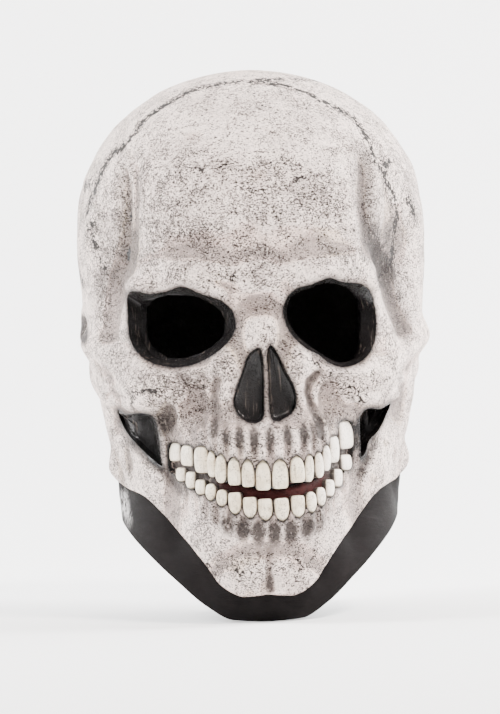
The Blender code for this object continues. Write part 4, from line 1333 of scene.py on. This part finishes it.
def bump(nodes, height, strength, distance):
    """Normal of a surface with the height over it, at full strength distance metres tall."""
    inputs = {"Height": height, "Strength": strength, "Distance": distance}
    return nodes.add("ShaderNodeBump", inputs).outputs[0]


def placed_group(nodes, tree, inputs):
    """A shader group in a material, with its inputs set, as its outputs."""
    return nodes.add("ShaderNodeGroup", inputs, node_tree=tree).outputs


def bone_material(colours):
    """Bone-white paint sponged over black latex, with its black recesses and drawn sutures."""
    made, nodes, shader = new_material("bone_latex_painted", 0.55, 0.22)
    where = nodes.millimetres()
    settings = {"Position": where, "Density": nodes.value("specks"), "Grain": 1.18}
    sponge = placed_group(nodes, sponge_group(), settings)
    dirt, wash_and_shade, warm = nodes.value("dirt"), nodes.value("wash_and_shade"), nodes.value("warm")

    shade = nodes.rise(sponge["Blotch"], 0.38, 0.6)
    colour = nodes.mix(shade, tuple(colours.bone_shade), tuple(colours.bone))
    cream = nodes.rise(nodes.noise(where, 0.025, 2.0), 0.5, 0.7, 0.6)
    beige = nodes.plus(cream, nodes.times(warm, 0.55), True)
    colour = nodes.mix(beige, colour, tuple(colours.cream))
    # Painted highlight on the heights and painted shade in the hollows
    relief_shading = nodes.value("relief_shading")
    colour = nodes.mix(nodes.rise(relief_shading, 0.08, 0.7, 0.8), colour, tuple(colours.bone_high))
    colour = nodes.mix(nodes.rise(relief_shading, -0.06, -0.7, 0.8), colour, HOLLOW_SHADE)
    grain = nodes.noise(where, 1.0, 4.0, 0.75)
    colour = nodes.mix(nodes.rise(grain, 0.56, 0.36, 0.6), colour, GRAIN_SHADE)
    colour = nodes.mix(nodes.rise(grain, 0.54, 0.7, 0.5), colour, tuple(colours.bone_high))
    colour = nodes.mix(nodes.times(sponge["Lip"], 0.4), colour, PIT_LIP)
    cloud = nodes.rise(nodes.noise(where, 0.055, 4.0, 0.68), 0.5, 0.66, 0.42)
    colour = nodes.mix(cloud, colour, CLOUD)
    smudge = nodes.times(dirt, nodes.rise(nodes.noise(where, 0.3, 4.0, 0.7), 0.36, 0.6))
    colour = nodes.mix(nodes.times(smudge, 0.7), colour, SMUDGE)
    rim = nodes.value("rim")
    settings = {"Position": where, "Distance": rim, "Reach": 0.5, "Softness": 0.9}
    black = placed_group(nodes, edge_group(), settings)["Cover"]
    frayed = nodes.plus(rim, nodes.times(nodes.noise(where, 0.35, 3.0), 2.0))
    colour = nodes.mix(nodes.rise(frayed, 5.0, 0.8, 0.55), colour, HALO)
    # Airbrushed wash, with painted shade in the grooves, the hollows and behind the teeth
    streak = nodes.noise(nodes.stretched(where, (0, 0, 0), (1.0, 1.0, 0.6)), 0.6, 4.0, 0.7)
    wash_and_shade_cover = nodes.times(wash_and_shade, nodes.rise(streak, 0.05, 0.62, 1.15), True)
    colour = nodes.mix(wash_and_shade_cover, colour, tuple(colours.wash_and_shade))
    colour = nodes.mix(nodes.times(sponge["Pits"], 0.97), colour, PIT)
    settings = {
        "Position": where, "Distance": nodes.value("crack"), "Half width": nodes.value("crack_width"),
    }
    drawn = placed_group(nodes, line_group(), settings)["Cover"]
    colour = nodes.mix(nodes.times(drawn, 0.97), colour, DRAWN_LINE)

    # Grey streaks on the deep black floors: painted sheen of their gloss
    sheen_streaks = nodes.noise(nodes.stretched(where, (0, 0.25, 0), (1.3, 1.3, 0.16)), 0.33, 3.0, 0.6)
    sheen_cover = nodes.times(nodes.rise(sheen_streaks, 0.54, 0.76, 0.6), nodes.rise(rim, -26.0, -19.0))
    deep = nodes.mix(sheen_cover, tuple(colours.black), SHEEN_STREAK)
    colour = nodes.mix(black, colour, deep)
    colour = nodes.mix(nodes.value("red"), colour, tuple(colours.mouth))
    nodes.put(colour, shader.inputs["Base Color"])
    glossy = nodes.mix(black, (0.62, 0.62, 0.62), (0.2, 0.2, 0.2))
    rough = nodes.plus(glossy, nodes.times(grain, 0.08))
    nodes.put(rough, shader.inputs["Roughness"])
    height = nodes.minus(sponge["Height"], drawn)
    height = nodes.plus(height, nodes.times(nodes.noise(where, 0.22, 4.0, 0.6), 0.9))
    height = nodes.times(height, nodes.minus(1.0, nodes.times(black, 0.85)))
    nodes.put(bump(nodes, height, 1.0, 0.0011), shader.inputs["Normal"])
    return made


def black_material(colours):
    """Glossy black latex with faint wrinkles and a painted highlight streak on its left side."""
    made, nodes, shader = new_material("black_latex_gloss", 0.4, 0.012)
    where = nodes.millimetres()
    cloud = nodes.noise(where, 0.06, 4.0, 0.6)
    colour = nodes.mix(nodes.rise(cloud, 0.4, 0.7, 0.5), tuple(colours.black), LATEX_CLOUD)
    # Painted highlight on the left of the neck, ragged
    torn = nodes.rise(nodes.noise(where, 0.35, 4.0, 0.7), 0.38, 0.6)
    neck_highlight = nodes.times(nodes.value("neck_highlight"), torn)
    colour = nodes.mix(neck_highlight, colour, NECK_HIGHLIGHT_TINT)
    nodes.put(colour, shader.inputs["Base Color"])
    nodes.put(nodes.plus(nodes.times(cloud, 0.3), 0.34), shader.inputs["Roughness"])
    wrinkle = nodes.noise(nodes.stretched(where, (0, 0, 0), (0.4, 0.4, 1.6)), 0.12, 4.0, 0.55)
    fine = nodes.times(nodes.noise(where, 1.2, 2.0), 0.06)
    nodes.put(bump(nodes, nodes.plus(wrinkle, fine), 0.5, 0.0016), shader.inputs["Normal"])
    return made


def tooth_material(colours):
    """Ivory satin paint, with painted shade at the gum and between the teeth."""
    made, nodes, shader = new_material("tooth_ivory_paint", 0.4, 0.5)
    where = nodes.millimetres()
    settings = {"Position": where, "Density": 0.3, "Grain": 1.3}
    sponge = placed_group(nodes, sponge_group(), settings)
    shade = nodes.rise(sponge["Blotch"], 0.35, 0.65)
    colour = nodes.mix(shade, tuple(colours.tooth_shade), tuple(colours.tooth))
    ribs = nodes.noise(nodes.stretched(where, (0, 0, 0), (1.5, 1.5, 0.2)), 0.7, 2.0)
    colour = nodes.mix(nodes.rise(ribs, 0.45, 0.3, 0.6), colour, TOOTH_RIB)
    colour = nodes.mix(nodes.value("pale"), colour, TOOTH_PALE)
    crown_shade = nodes.plus(nodes.value("crown_shade"), nodes.times(nodes.noise(where, 0.6, 3.0), 0.45))
    # Painted shade at the crowns' sides, gums and tips, darkest between the teeth
    colour = nodes.mix(nodes.rise(crown_shade, 0.3, 0.9, 0.7), colour, TOOTH_SIDE_SHADE)
    colour = nodes.mix(nodes.rise(crown_shade, 0.75, 1.25), colour, TOOTH_GAP_SHADE)
    colour = nodes.mix(nodes.times(sponge["Pits"], 0.6), colour, TOOTH_PIT)
    nodes.put(colour, shader.inputs["Base Color"])
    height = nodes.plus(sponge["Height"], nodes.times(ribs, 0.7))
    nodes.put(bump(nodes, height, 0.6, 0.0004), shader.inputs["Normal"])
    return made


CROWN_SHAPES = {
    # share of the length from the gum, half width, how far proud of the gum in mm
    "incisor_crown": (
        (-0.02, 0.03, 0.1), (0.02, 0.16, 0.5), (0.09, 0.28, 0.9), (0.18, 0.38, 1.2), (0.30, 0.445, 1.5),
        (0.44, 0.485, 1.7), (0.62, 0.50, 1.7), (0.80, 0.495, 1.5), (0.90, 0.475, 1.3), (0.96, 0.43, 1.0),
        (0.99, 0.36, 0.6), (1.0, 0.25, 0.0),
    ),
    "canine_crown": (
        (-0.02, 0.03, 0.2), (0.02, 0.17, 0.6), (0.09, 0.29, 1.1), (0.18, 0.39, 1.5), (0.30, 0.455, 1.9),
        (0.44, 0.49, 2.1), (0.60, 0.50, 2.0), (0.76, 0.475, 1.8), (0.87, 0.42, 1.5), (0.94, 0.33, 1.1),
        (0.985, 0.21, 0.6), (1.0, 0.10, 0.1),
    ),
    "molar_crown": (
        (-0.02, 0.12, 0.1), (0.01, 0.27, 0.5), (0.07, 0.38, 1.0), (0.16, 0.445, 1.4), (0.28, 0.48, 1.7),
        (0.44, 0.50, 1.9), (0.62, 0.50, 1.8), (0.78, 0.495, 1.6), (0.89, 0.465, 1.3), (0.95, 0.42, 0.9),
        (0.985, 0.34, 0.5), (1.0, 0.24, -0.1),
    ),
}


def crown_prototype(name):
    """One tooth crown, 1 wide and 1 long hanging from the gum, with its depth in mm."""
    levels = open_curve(np.array(CROWN_SHAPES[name]), 2)
    turns = np.linspace(0, 2 * np.pi, 28, endpoint=False)
    front, across = np.cos(turns), np.sin(turns)
    points = []
    for share, half, proud in levels:
        x = half * np.sign(across) * np.abs(across) ** 0.72
        ahead = np.abs(front) ** 0.72
        depth = np.where(front > 0, 0.75 * proud + 2.5, 0.4) * ahead
        y = np.where(front > 0, 2.5 - depth, 2.5 + depth)
        z = -share + (0.018 * (1 - np.abs(across)) if share > 0.9 and name == "molar_crown" else 0.0)
        points.append(np.stack([x, y, np.broadcast_to(z, x.shape)], axis=1))
    size = len(turns)
    faces = [list(range(size))[::-1], [len(points) * size - size + k for k in range(size)]]
    for k in range(len(points) - 1):
        for j in range(size):
            n = (j + 1) % size
            faces.append([k * size + j, k * size + n, (k + 1) * size + n, (k + 1) * size + j])
    points = np.concatenate(points)
    share = -points[:, 2]
    shares, halves, _ = zip(*CROWN_SHAPES[name])
    reach = np.interp(share, shares, halves)
    # Painted shade towards each crown's sides, at the gum and at the tip
    crown_shade = 1.2 * ramp(np.abs(points[:, 0]) / np.maximum(reach, 0.05), 0.74, 0.99)
    crown_shade = np.maximum(crown_shade, np.maximum(0.3 * ramp(share, 0.93, 1.0), 0.55 * ramp(share, 0.12, 0.0)))
    return make_object(name, points, faces, None, {"crown_shade": crown_shade})


def teeth_tree(prototypes):
    """Geometry nodes that stand a crown on each point of a row and turn it out of the arch."""
    tree = bpy.data.node_groups.new("tooth_row", "GeometryNodeTree")
    face = tree.interface
    face.new_socket("Row", in_out="INPUT", socket_type="NodeSocketGeometry")
    for label in prototypes:
        face.new_socket(label, in_out="INPUT", socket_type="NodeSocketObject")
    face.new_socket("Lean", in_out="INPUT", socket_type="NodeSocketFloat")
    face.new_socket("Seed", in_out="INPUT", socket_type="NodeSocketInt")
    face.new_socket("Paint", in_out="INPUT", socket_type="NodeSocketMaterial")
    face.new_socket("Teeth", in_out="OUTPUT", socket_type="NodeSocketGeometry")
    nodes = Nodes(tree)
    into, out = nodes.add("NodeGroupInput").outputs, nodes.add("NodeGroupOutput").inputs
    join = nodes.add("GeometryNodeGeometryToInstance")
    for label in reversed(list(prototypes)):
        shape = nodes.add("GeometryNodeObjectInfo", {"Object": into[label]}, transform_space="ORIGINAL")
        tree.links.new(shape.outputs["Geometry"], join.inputs[0])

    def stored(name, kind):
        return nodes.add("GeometryNodeInputNamedAttribute", {"Name": name}, data_type=kind).outputs[0]

    lean = nodes.add("FunctionNodeRandomValue", data_type="FLOAT_VECTOR")
    span = nodes.scaled((1.0, 1.0, 0.5), into["Lean"])
    nodes.put(nodes.scaled(span, -1.0), lean.inputs[0])
    nodes.put(span, lean.inputs[1])
    nodes.put(into["Seed"], lean.inputs["Seed"])
    turn = stored("turn", "FLOAT_VECTOR")
    turned = nodes.add("ShaderNodeVectorMath", {0: turn, 1: lean.outputs[0]}).outputs[0]
    row = nodes.add("GeometryNodeMeshToPoints", {"Mesh": into["Row"]}).outputs[0]
    stand = nodes.add("GeometryNodeInstanceOnPoints", {
        "Points": row, "Instance": join.outputs[0], "Pick Instance": True,
        "Instance Index": stored("kind", "INT"), "Rotation": turned, "Scale": stored("size", "FLOAT_VECTOR"),
    }).outputs[0]
    solid = nodes.add("GeometryNodeRealizeInstances", {"Geometry": stand}).outputs[0]
    painted = nodes.add("GeometryNodeSetMaterial", {"Geometry": solid, "Material": into["Paint"]})
    nodes.put(painted.outputs[0], out["Teeth"])
    return tree


def build_teeth(name, teeth, material, lean, seed):
    """One row of separate crowns along the arch, as one mesh."""
    toward_gum = 1 if teeth[0][2] > teeth[0][3] else -1
    places, turns, sizes, kinds = [], [], [], []
    for x, width, gum, edge, kind in teeth:
        out = arch_out(np.array(float(x)))
        places.append((x, float(arch_y(x)), gum))
        around = math.atan2(-out[0], -out[1])
        turns.append((0.0, 0.0 if toward_gum > 0 else math.pi, -around))
        sizes.append((width * 1.06 / max(0.45, -out[1]), 1.0, abs(edge - gum)))
        kinds.append(kind)
    mesh = bpy.data.meshes.new(name)
    mesh.from_pydata((np.array(places) * MM).tolist(), [], [])
    for key, kind, values in (("turn", "FLOAT_VECTOR", turns), ("size", "FLOAT_VECTOR", sizes)):
        layer = mesh.attributes.new(key, kind, "POINT")
        layer.data.foreach_set("vector", np.array(values, np.float32).ravel())
    mesh.attributes.new("kind", "INT", "POINT").data.foreach_set("value", kinds)
    obj = bpy.data.objects.new(name, mesh)
    bpy.context.scene.collection.objects.link(obj)
    prototypes = {label: crown_prototype(label) for label in CROWN_SHAPES}
    tree = teeth_tree(prototypes)
    modifier = obj.modifiers.new("Tooth row", "NODES")
    modifier.node_group = tree
    items = tree.interface.items_tree
    sockets = {item.name: item.identifier for item in items if item.in_out == "INPUT"}
    for label, shape in prototypes.items():
        modifier[sockets[label]] = shape
    modifier[sockets["Lean"]] = lean
    modifier[sockets["Seed"]] = seed
    modifier[sockets["Paint"]] = material
    bpy.context.view_layer.update()
    solid = bpy.data.meshes.new_from_object(obj.evaluated_get(bpy.context.evaluated_depsgraph_get()))
    obj.modifiers.clear()
    obj.data = solid
    solid.name = name
    for shape in prototypes.values():
        bpy.data.objects.remove(shape)
    x = np.empty(len(solid.vertices) * 3, np.float32)
    solid.vertices.foreach_get("co", x)
    x = x.reshape(-1, 3)[:, 0] / MM
    layer = solid.attributes.new("pale", "FLOAT", "POINT")
    layer.data.foreach_set("value", (0.7 * ramp(x, 18, 34) + 0.3 * ramp(x, -30, -42)).astype(np.float32))
    work = bmesh.new()
    work.from_mesh(solid)
    bmesh.ops.recalc_face_normals(work, faces=work.faces)
    work.to_mesh(solid)
    work.free()
    solid.shade_smooth()
    return obj


def build_neck(wall, material):
    """Black latex neck from inside the jaw's lip down to its hem, a little creased."""
    turns = surface_columns(2.4, 2.6, 3.2)
    edge_z, lip, hem_z = (rim_value(turns, column) for column in (1, 2, 3))
    x, y = head_point(turns, edge_z)
    throat = drawn_in(np.stack([x, y, edge_z], axis=1), lip + 0.3)
    half_width, front_y, back_y, widest_y = HEM
    reach = np.where(np.cos(turns) > 0, widest_y - front_y, back_y - widest_y)
    hem = np.stack([half_width * np.sin(turns), widest_y - reach * np.cos(turns), hem_z], axis=1)
    below = lifted(throat, -3.0)
    outside = [lifted(throat, TUCK), lifted(throat, 2.0), below]
    for t in np.linspace(0, 1, 26)[1:]:
        ring = below * (1 - t) + hem * t
        crease = lumps(ring * (1, 1, 2.2), 11.0, SEED + 5)
        outside.append(drawn_in(ring, -0.5 * crease * math.sin(math.pi * min(1.0, t * 1.2))))
    outside = np.array(outside)
    inside = np.array([drawn_in(ring, wall) for ring in outside])
    hem_low = lifted(outside[-1], -0.3)
    hem_roll = [drawn_in(hem_low, 0.35 * wall), drawn_in(hem_low, 0.65 * wall)]
    loop = np.concatenate([outside, hem_roll, inside[::-1]])
    count, size = loop.shape[:2]
    j = np.arange(size)
    k = (j + 1) % size
    faces = []
    for i in range(count):
        n = (i + 1) % count
        faces += np.stack([i * size + j, n * size + j, n * size + k, i * size + k], axis=1).tolist()
    points = loop.reshape(-1, 3)
    # Painted highlight on the left of the neck
    neck_highlight = patches(points[:, 0], points[:, 2], NECK_HIGHLIGHT_PATCHES)
    return make_object("neck_skin", points, faces, material, {"neck_highlight": neck_highlight * (points[:, 1] < -10)})


def colour_property(name, description, default):
    """A colour that can be set in the panel."""
    return bpy.props.FloatVectorProperty(
        name=name, description=description, default=default, subtype="COLOR", size=3, min=0.0, max=1.0
    )


class SkullMaskSizes(bpy.types.PropertyGroup):
    """Sizes of the mask that a user would change."""

    cell: bpy.props.FloatProperty(
        name="Face mesh", description="Size of the mesh cells on the face", default=1.1 * MM,
        min=0.9 * MM, max=1.2 * MM, unit="LENGTH", precision=5,
    )
    wall: bpy.props.FloatProperty(
        name="Wall", description="Thickness of the latex", default=2.4 * MM, min=1.0 * MM, max=3.0 * MM,
        unit="LENGTH", precision=5,
    )
    neck_wall: bpy.props.FloatProperty(
        name="Neck wall", description="Thickness of the neck's latex", default=1.8 * MM, min=1.0 * MM,
        max=3.0 * MM, unit="LENGTH", precision=5,
    )
    lean: bpy.props.FloatProperty(
        name="Tooth lean", description="How far single teeth are turned out of line", default=0.05, min=0.0,
        max=0.2, unit="ROTATION",
    )


class SkullMaskColours(bpy.types.PropertyGroup):
    """Colours of the mask's paint."""

    bone: colour_property("Bone", "Light sponged paint", (0.87, 0.675, 0.585))
    # Also the painted highlight on the heights, besides the lighter grain
    bone_high: colour_property("Bone heights", "Where the light paint lies thickest", (0.96, 0.82, 0.745))
    bone_shade: colour_property("Bone shade", "Where the light paint is thin", (0.58, 0.43, 0.375))
    cream: colour_property("Cream", "Warmer patches of the light paint", (0.72, 0.58, 0.42))
    # Also the painted shade in the grooves, the hollows and behind the teeth
    wash_and_shade: colour_property("Wash", "Airbrushed dark in the hollows", (0.055, 0.044, 0.040))
    black: colour_property("Black", "Bare latex", (0.010, 0.009, 0.009))
    tooth: colour_property("Tooth", "Light paint of the teeth", (0.84, 0.75, 0.58))
    tooth_shade: colour_property("Tooth shade", "Darker paint of the teeth", (0.62, 0.51, 0.36))
    mouth: colour_property("Mouth", "Paint of the floor between the rows of teeth", (0.030, 0.0016, 0.001))


class SkullMaskStage(bpy.types.PropertyGroup):
    """Camera, floor and light."""

    distance: bpy.props.FloatProperty(
        name="Camera distance", description="From the camera to the face", default=2.0, min=0.5, max=6.0,
        unit="LENGTH",
    )
    light: bpy.props.FloatProperty(
        name="Light", description="Strength of the lamps", default=1.0, min=0.0, max=4.0,
    )
    backdrop: colour_property("Backdrop", "Colour of the floor and backdrop", (0.93, 0.93, 0.93))


def replace_piece(name):
    """Clears an earlier piece of the same name."""
    old = bpy.data.objects.get(name)
    if old:
        bpy.data.objects.remove(old)


class SKULLMASK_OT_skin(bpy.types.Operator):
    """Build the painted latex skin with its eye holes, recesses and lining"""

    bl_idname = "skullmask.skin"
    bl_label = "Skull skin"

    def execute(self, context):
        sizes = context.scene.skull_mask_sizes
        replace_piece("skull_skin")
        points, faces, rims, bumps = build_skin(sizes.cell / MM, sizes.wall / MM)
        values = paint_values(points, vertex_normals(points, faces), bumps, rims)
        paint = bone_material(context.scene.skull_mask_colours)
        obj = make_object("skull_skin", points, faces, paint, values)
        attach(obj, "root")
        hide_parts("skull_shell")
        return {"FINISHED"}


class SKULLMASK_OT_neck(bpy.types.Operator):
    """Build the black latex neck"""

    bl_idname = "skullmask.neck"
    bl_label = "Neck"

    def execute(self, context):
        replace_piece("neck_skin")
        wall = context.scene.skull_mask_sizes.neck_wall / MM
        obj = build_neck(wall, black_material(context.scene.skull_mask_colours))
        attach(obj, "root")
        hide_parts("neck_skirt")
        return {"FINISHED"}


class SKULLMASK_OT_teeth(bpy.types.Operator):
    """Build both rows of teeth"""

    bl_idname = "skullmask.teeth"
    bl_label = "Teeth"

    def execute(self, context):
        lean = context.scene.skull_mask_sizes.lean
        paint = tooth_material(context.scene.skull_mask_colours)
        for name, node, teeth, seed in (
            ("upper_crowns", "upper_teeth", UPPER_TEETH, SEED + 3),
            ("lower_crowns", "lower_teeth", LOWER_TEETH, SEED + 4),
        ):
            replace_piece(name)
            obj = build_teeth(name, teeth, paint, lean, seed)
            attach(obj, "root")
            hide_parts(node)
        return {"FINISHED"}


class SKULLMASK_OT_stage(bpy.types.Operator):
    """Set up the floor, the backdrop, the lamps and the camera"""

    bl_idname = "skullmask.stage"
    bl_label = "Stage"

    def execute(self, context):
        stage = context.scene.skull_mask_stage
        for name in ("backdrop", "camera", *(lamp[0] for lamp in LAMPS)):
            replace_piece(name)
        build_floor(stage)
        build_lights(stage)
        build_camera(stage)
        return {"FINISHED"}


def build_floor(stage):
    """Floor that curves up into a backdrop."""
    profile = [(FLOOR_FRONT_Y, FLOOR_Z), (FLOOR_BEND_Y, FLOOR_Z)]
    for k in range(1, 13):
        angle = math.radians(90 * k / 12)
        out, up = math.sin(angle), 1 - math.cos(angle)
        profile.append((FLOOR_BEND_Y + FLOOR_BEND * out, FLOOR_Z + FLOOR_BEND * up))
    profile.append((FLOOR_BEND_Y + FLOOR_BEND, FLOOR_Z + BACKDROP_HEIGHT))
    points = [(x, y, z) for y, z in profile for x in (-FLOOR_HALF_WIDTH, FLOOR_HALF_WIDTH)]
    faces = [(2 * k, 2 * k + 2, 2 * k + 3, 2 * k + 1) for k in range(len(profile) - 1)]
    made, nodes, shader = new_material("backdrop_paper", 0.85, 0.2)
    fibre = nodes.noise(nodes.millimetres(), 0.4, 3.0)
    colour = tuple(stage.backdrop)
    darker = tuple(0.985 * c for c in colour)
    nodes.put(nodes.mix(nodes.rise(fibre, 0.3, 0.7), darker, colour), shader.inputs["Base Color"])
    # The backdrop is clear from behind, so that the mask can be looked at from there
    behind = nodes.add("ShaderNodeNewGeometry").outputs["Backfacing"]
    nodes.put(nodes.minus(1.0, behind), shader.inputs["Alpha"])
    obj = make_object("backdrop", points, faces, made)
    obj.data.flip_normals()


def aimed(place, target):
    """Matrix of a lamp or camera at a place looking at a target, in mm."""
    place, target = Vector(place) * MM, Vector(target) * MM
    turn = (target - place).to_track_quat("-Z", "Y").to_matrix().to_4x4()
    return Matrix.Translation(place) @ turn


def build_lights(stage):
    """Large soft lamps and a bright plain surround."""
    for name, place, target, size, power in LAMPS:
        lamp = bpy.data.lights.new(name, "AREA")
        lamp.shape, lamp.size, lamp.energy = "SQUARE", size * MM, power * stage.light
        if name == "key_lamp":
            lamp.color = KEY_COLOUR
        obj = bpy.data.objects.new(name, lamp)
        bpy.context.scene.collection.objects.link(obj)
        obj.matrix_world = aimed(place, target)
    world = bpy.data.worlds.new("studio")
    world.use_nodes = True
    world.node_tree.nodes["Background"].inputs["Color"].default_value = (1, 1, 1, 1)
    world.node_tree.nodes["Background"].inputs["Strength"].default_value = SURROUND
    bpy.context.scene.world = world


def build_camera(stage):
    """Camera at the photograph's angle: level, a little to the left, with a slight roll."""
    camera = bpy.data.cameras.new("camera")
    obj = bpy.data.objects.new("camera", camera)
    bpy.context.scene.collection.objects.link(obj)
    distance = stage.distance / MM
    camera.sensor_width, camera.sensor_fit = SENSOR, "AUTO"
    camera.lens = FOCAL_PIXELS * SENSOR / PICTURE_PIXELS * distance / 2000.0
    camera.clip_end = 20.0
    place = (CAMERA_X - CAMERA_TO_LEFT * distance, FACE_Y - distance, CAMERA_Z)
    look = aimed(place, (CAMERA_X, FACE_Y, CAMERA_Z))
    obj.matrix_world = look @ Matrix.Rotation(math.radians(CAMERA_ROLL), 4, "Z")
    bpy.context.scene.camera = obj


class SKULLMASK_PT_panel(bpy.types.Panel):
    """Buttons for the mask's pieces"""

    bl_idname = "SKULLMASK_PT_panel"
    bl_label = "Skull mask"
    bl_space_type = "VIEW_3D"
    bl_region_type = "UI"
    bl_category = "Skull mask"

    def draw(self, context):
        for group in ("skull_mask_sizes", "skull_mask_colours", "skull_mask_stage"):
            settings = getattr(context.scene, group)
            box = self.layout.box()
            for key in settings.__annotations__:
                box.prop(settings, key)
        for operator in OPERATORS:
            self.layout.operator(operator.bl_idname)


OPERATORS = (SKULLMASK_OT_skin, SKULLMASK_OT_neck, SKULLMASK_OT_teeth, SKULLMASK_OT_stage)
GROUPS = (
    ("skull_mask_sizes", SkullMaskSizes),
    ("skull_mask_colours", SkullMaskColours),
    ("skull_mask_stage", SkullMaskStage),
)


def register():
    for name, group in GROUPS:
        bpy.utils.register_class(group)
        setattr(bpy.types.Scene, name, bpy.props.PointerProperty(type=group))
    for operator in OPERATORS:
        bpy.utils.register_class(operator)
    bpy.utils.register_class(SKULLMASK_PT_panel)


def unregister():
    bpy.utils.unregister_class(SKULLMASK_PT_panel)
    for operator in reversed(OPERATORS):
        bpy.utils.unregister_class(operator)
    for name, group in reversed(GROUPS):
        delattr(bpy.types.Scene, name)
        bpy.utils.unregister_class(group)


def main():
    """Builds the mask in order."""
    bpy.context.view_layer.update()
    register()
    bpy.ops.skullmask.stage()
    bpy.ops.skullmask.skin()
    bpy.ops.skullmask.neck()
    bpy.ops.skullmask.teeth()


if __name__ == "__main__":
    main()
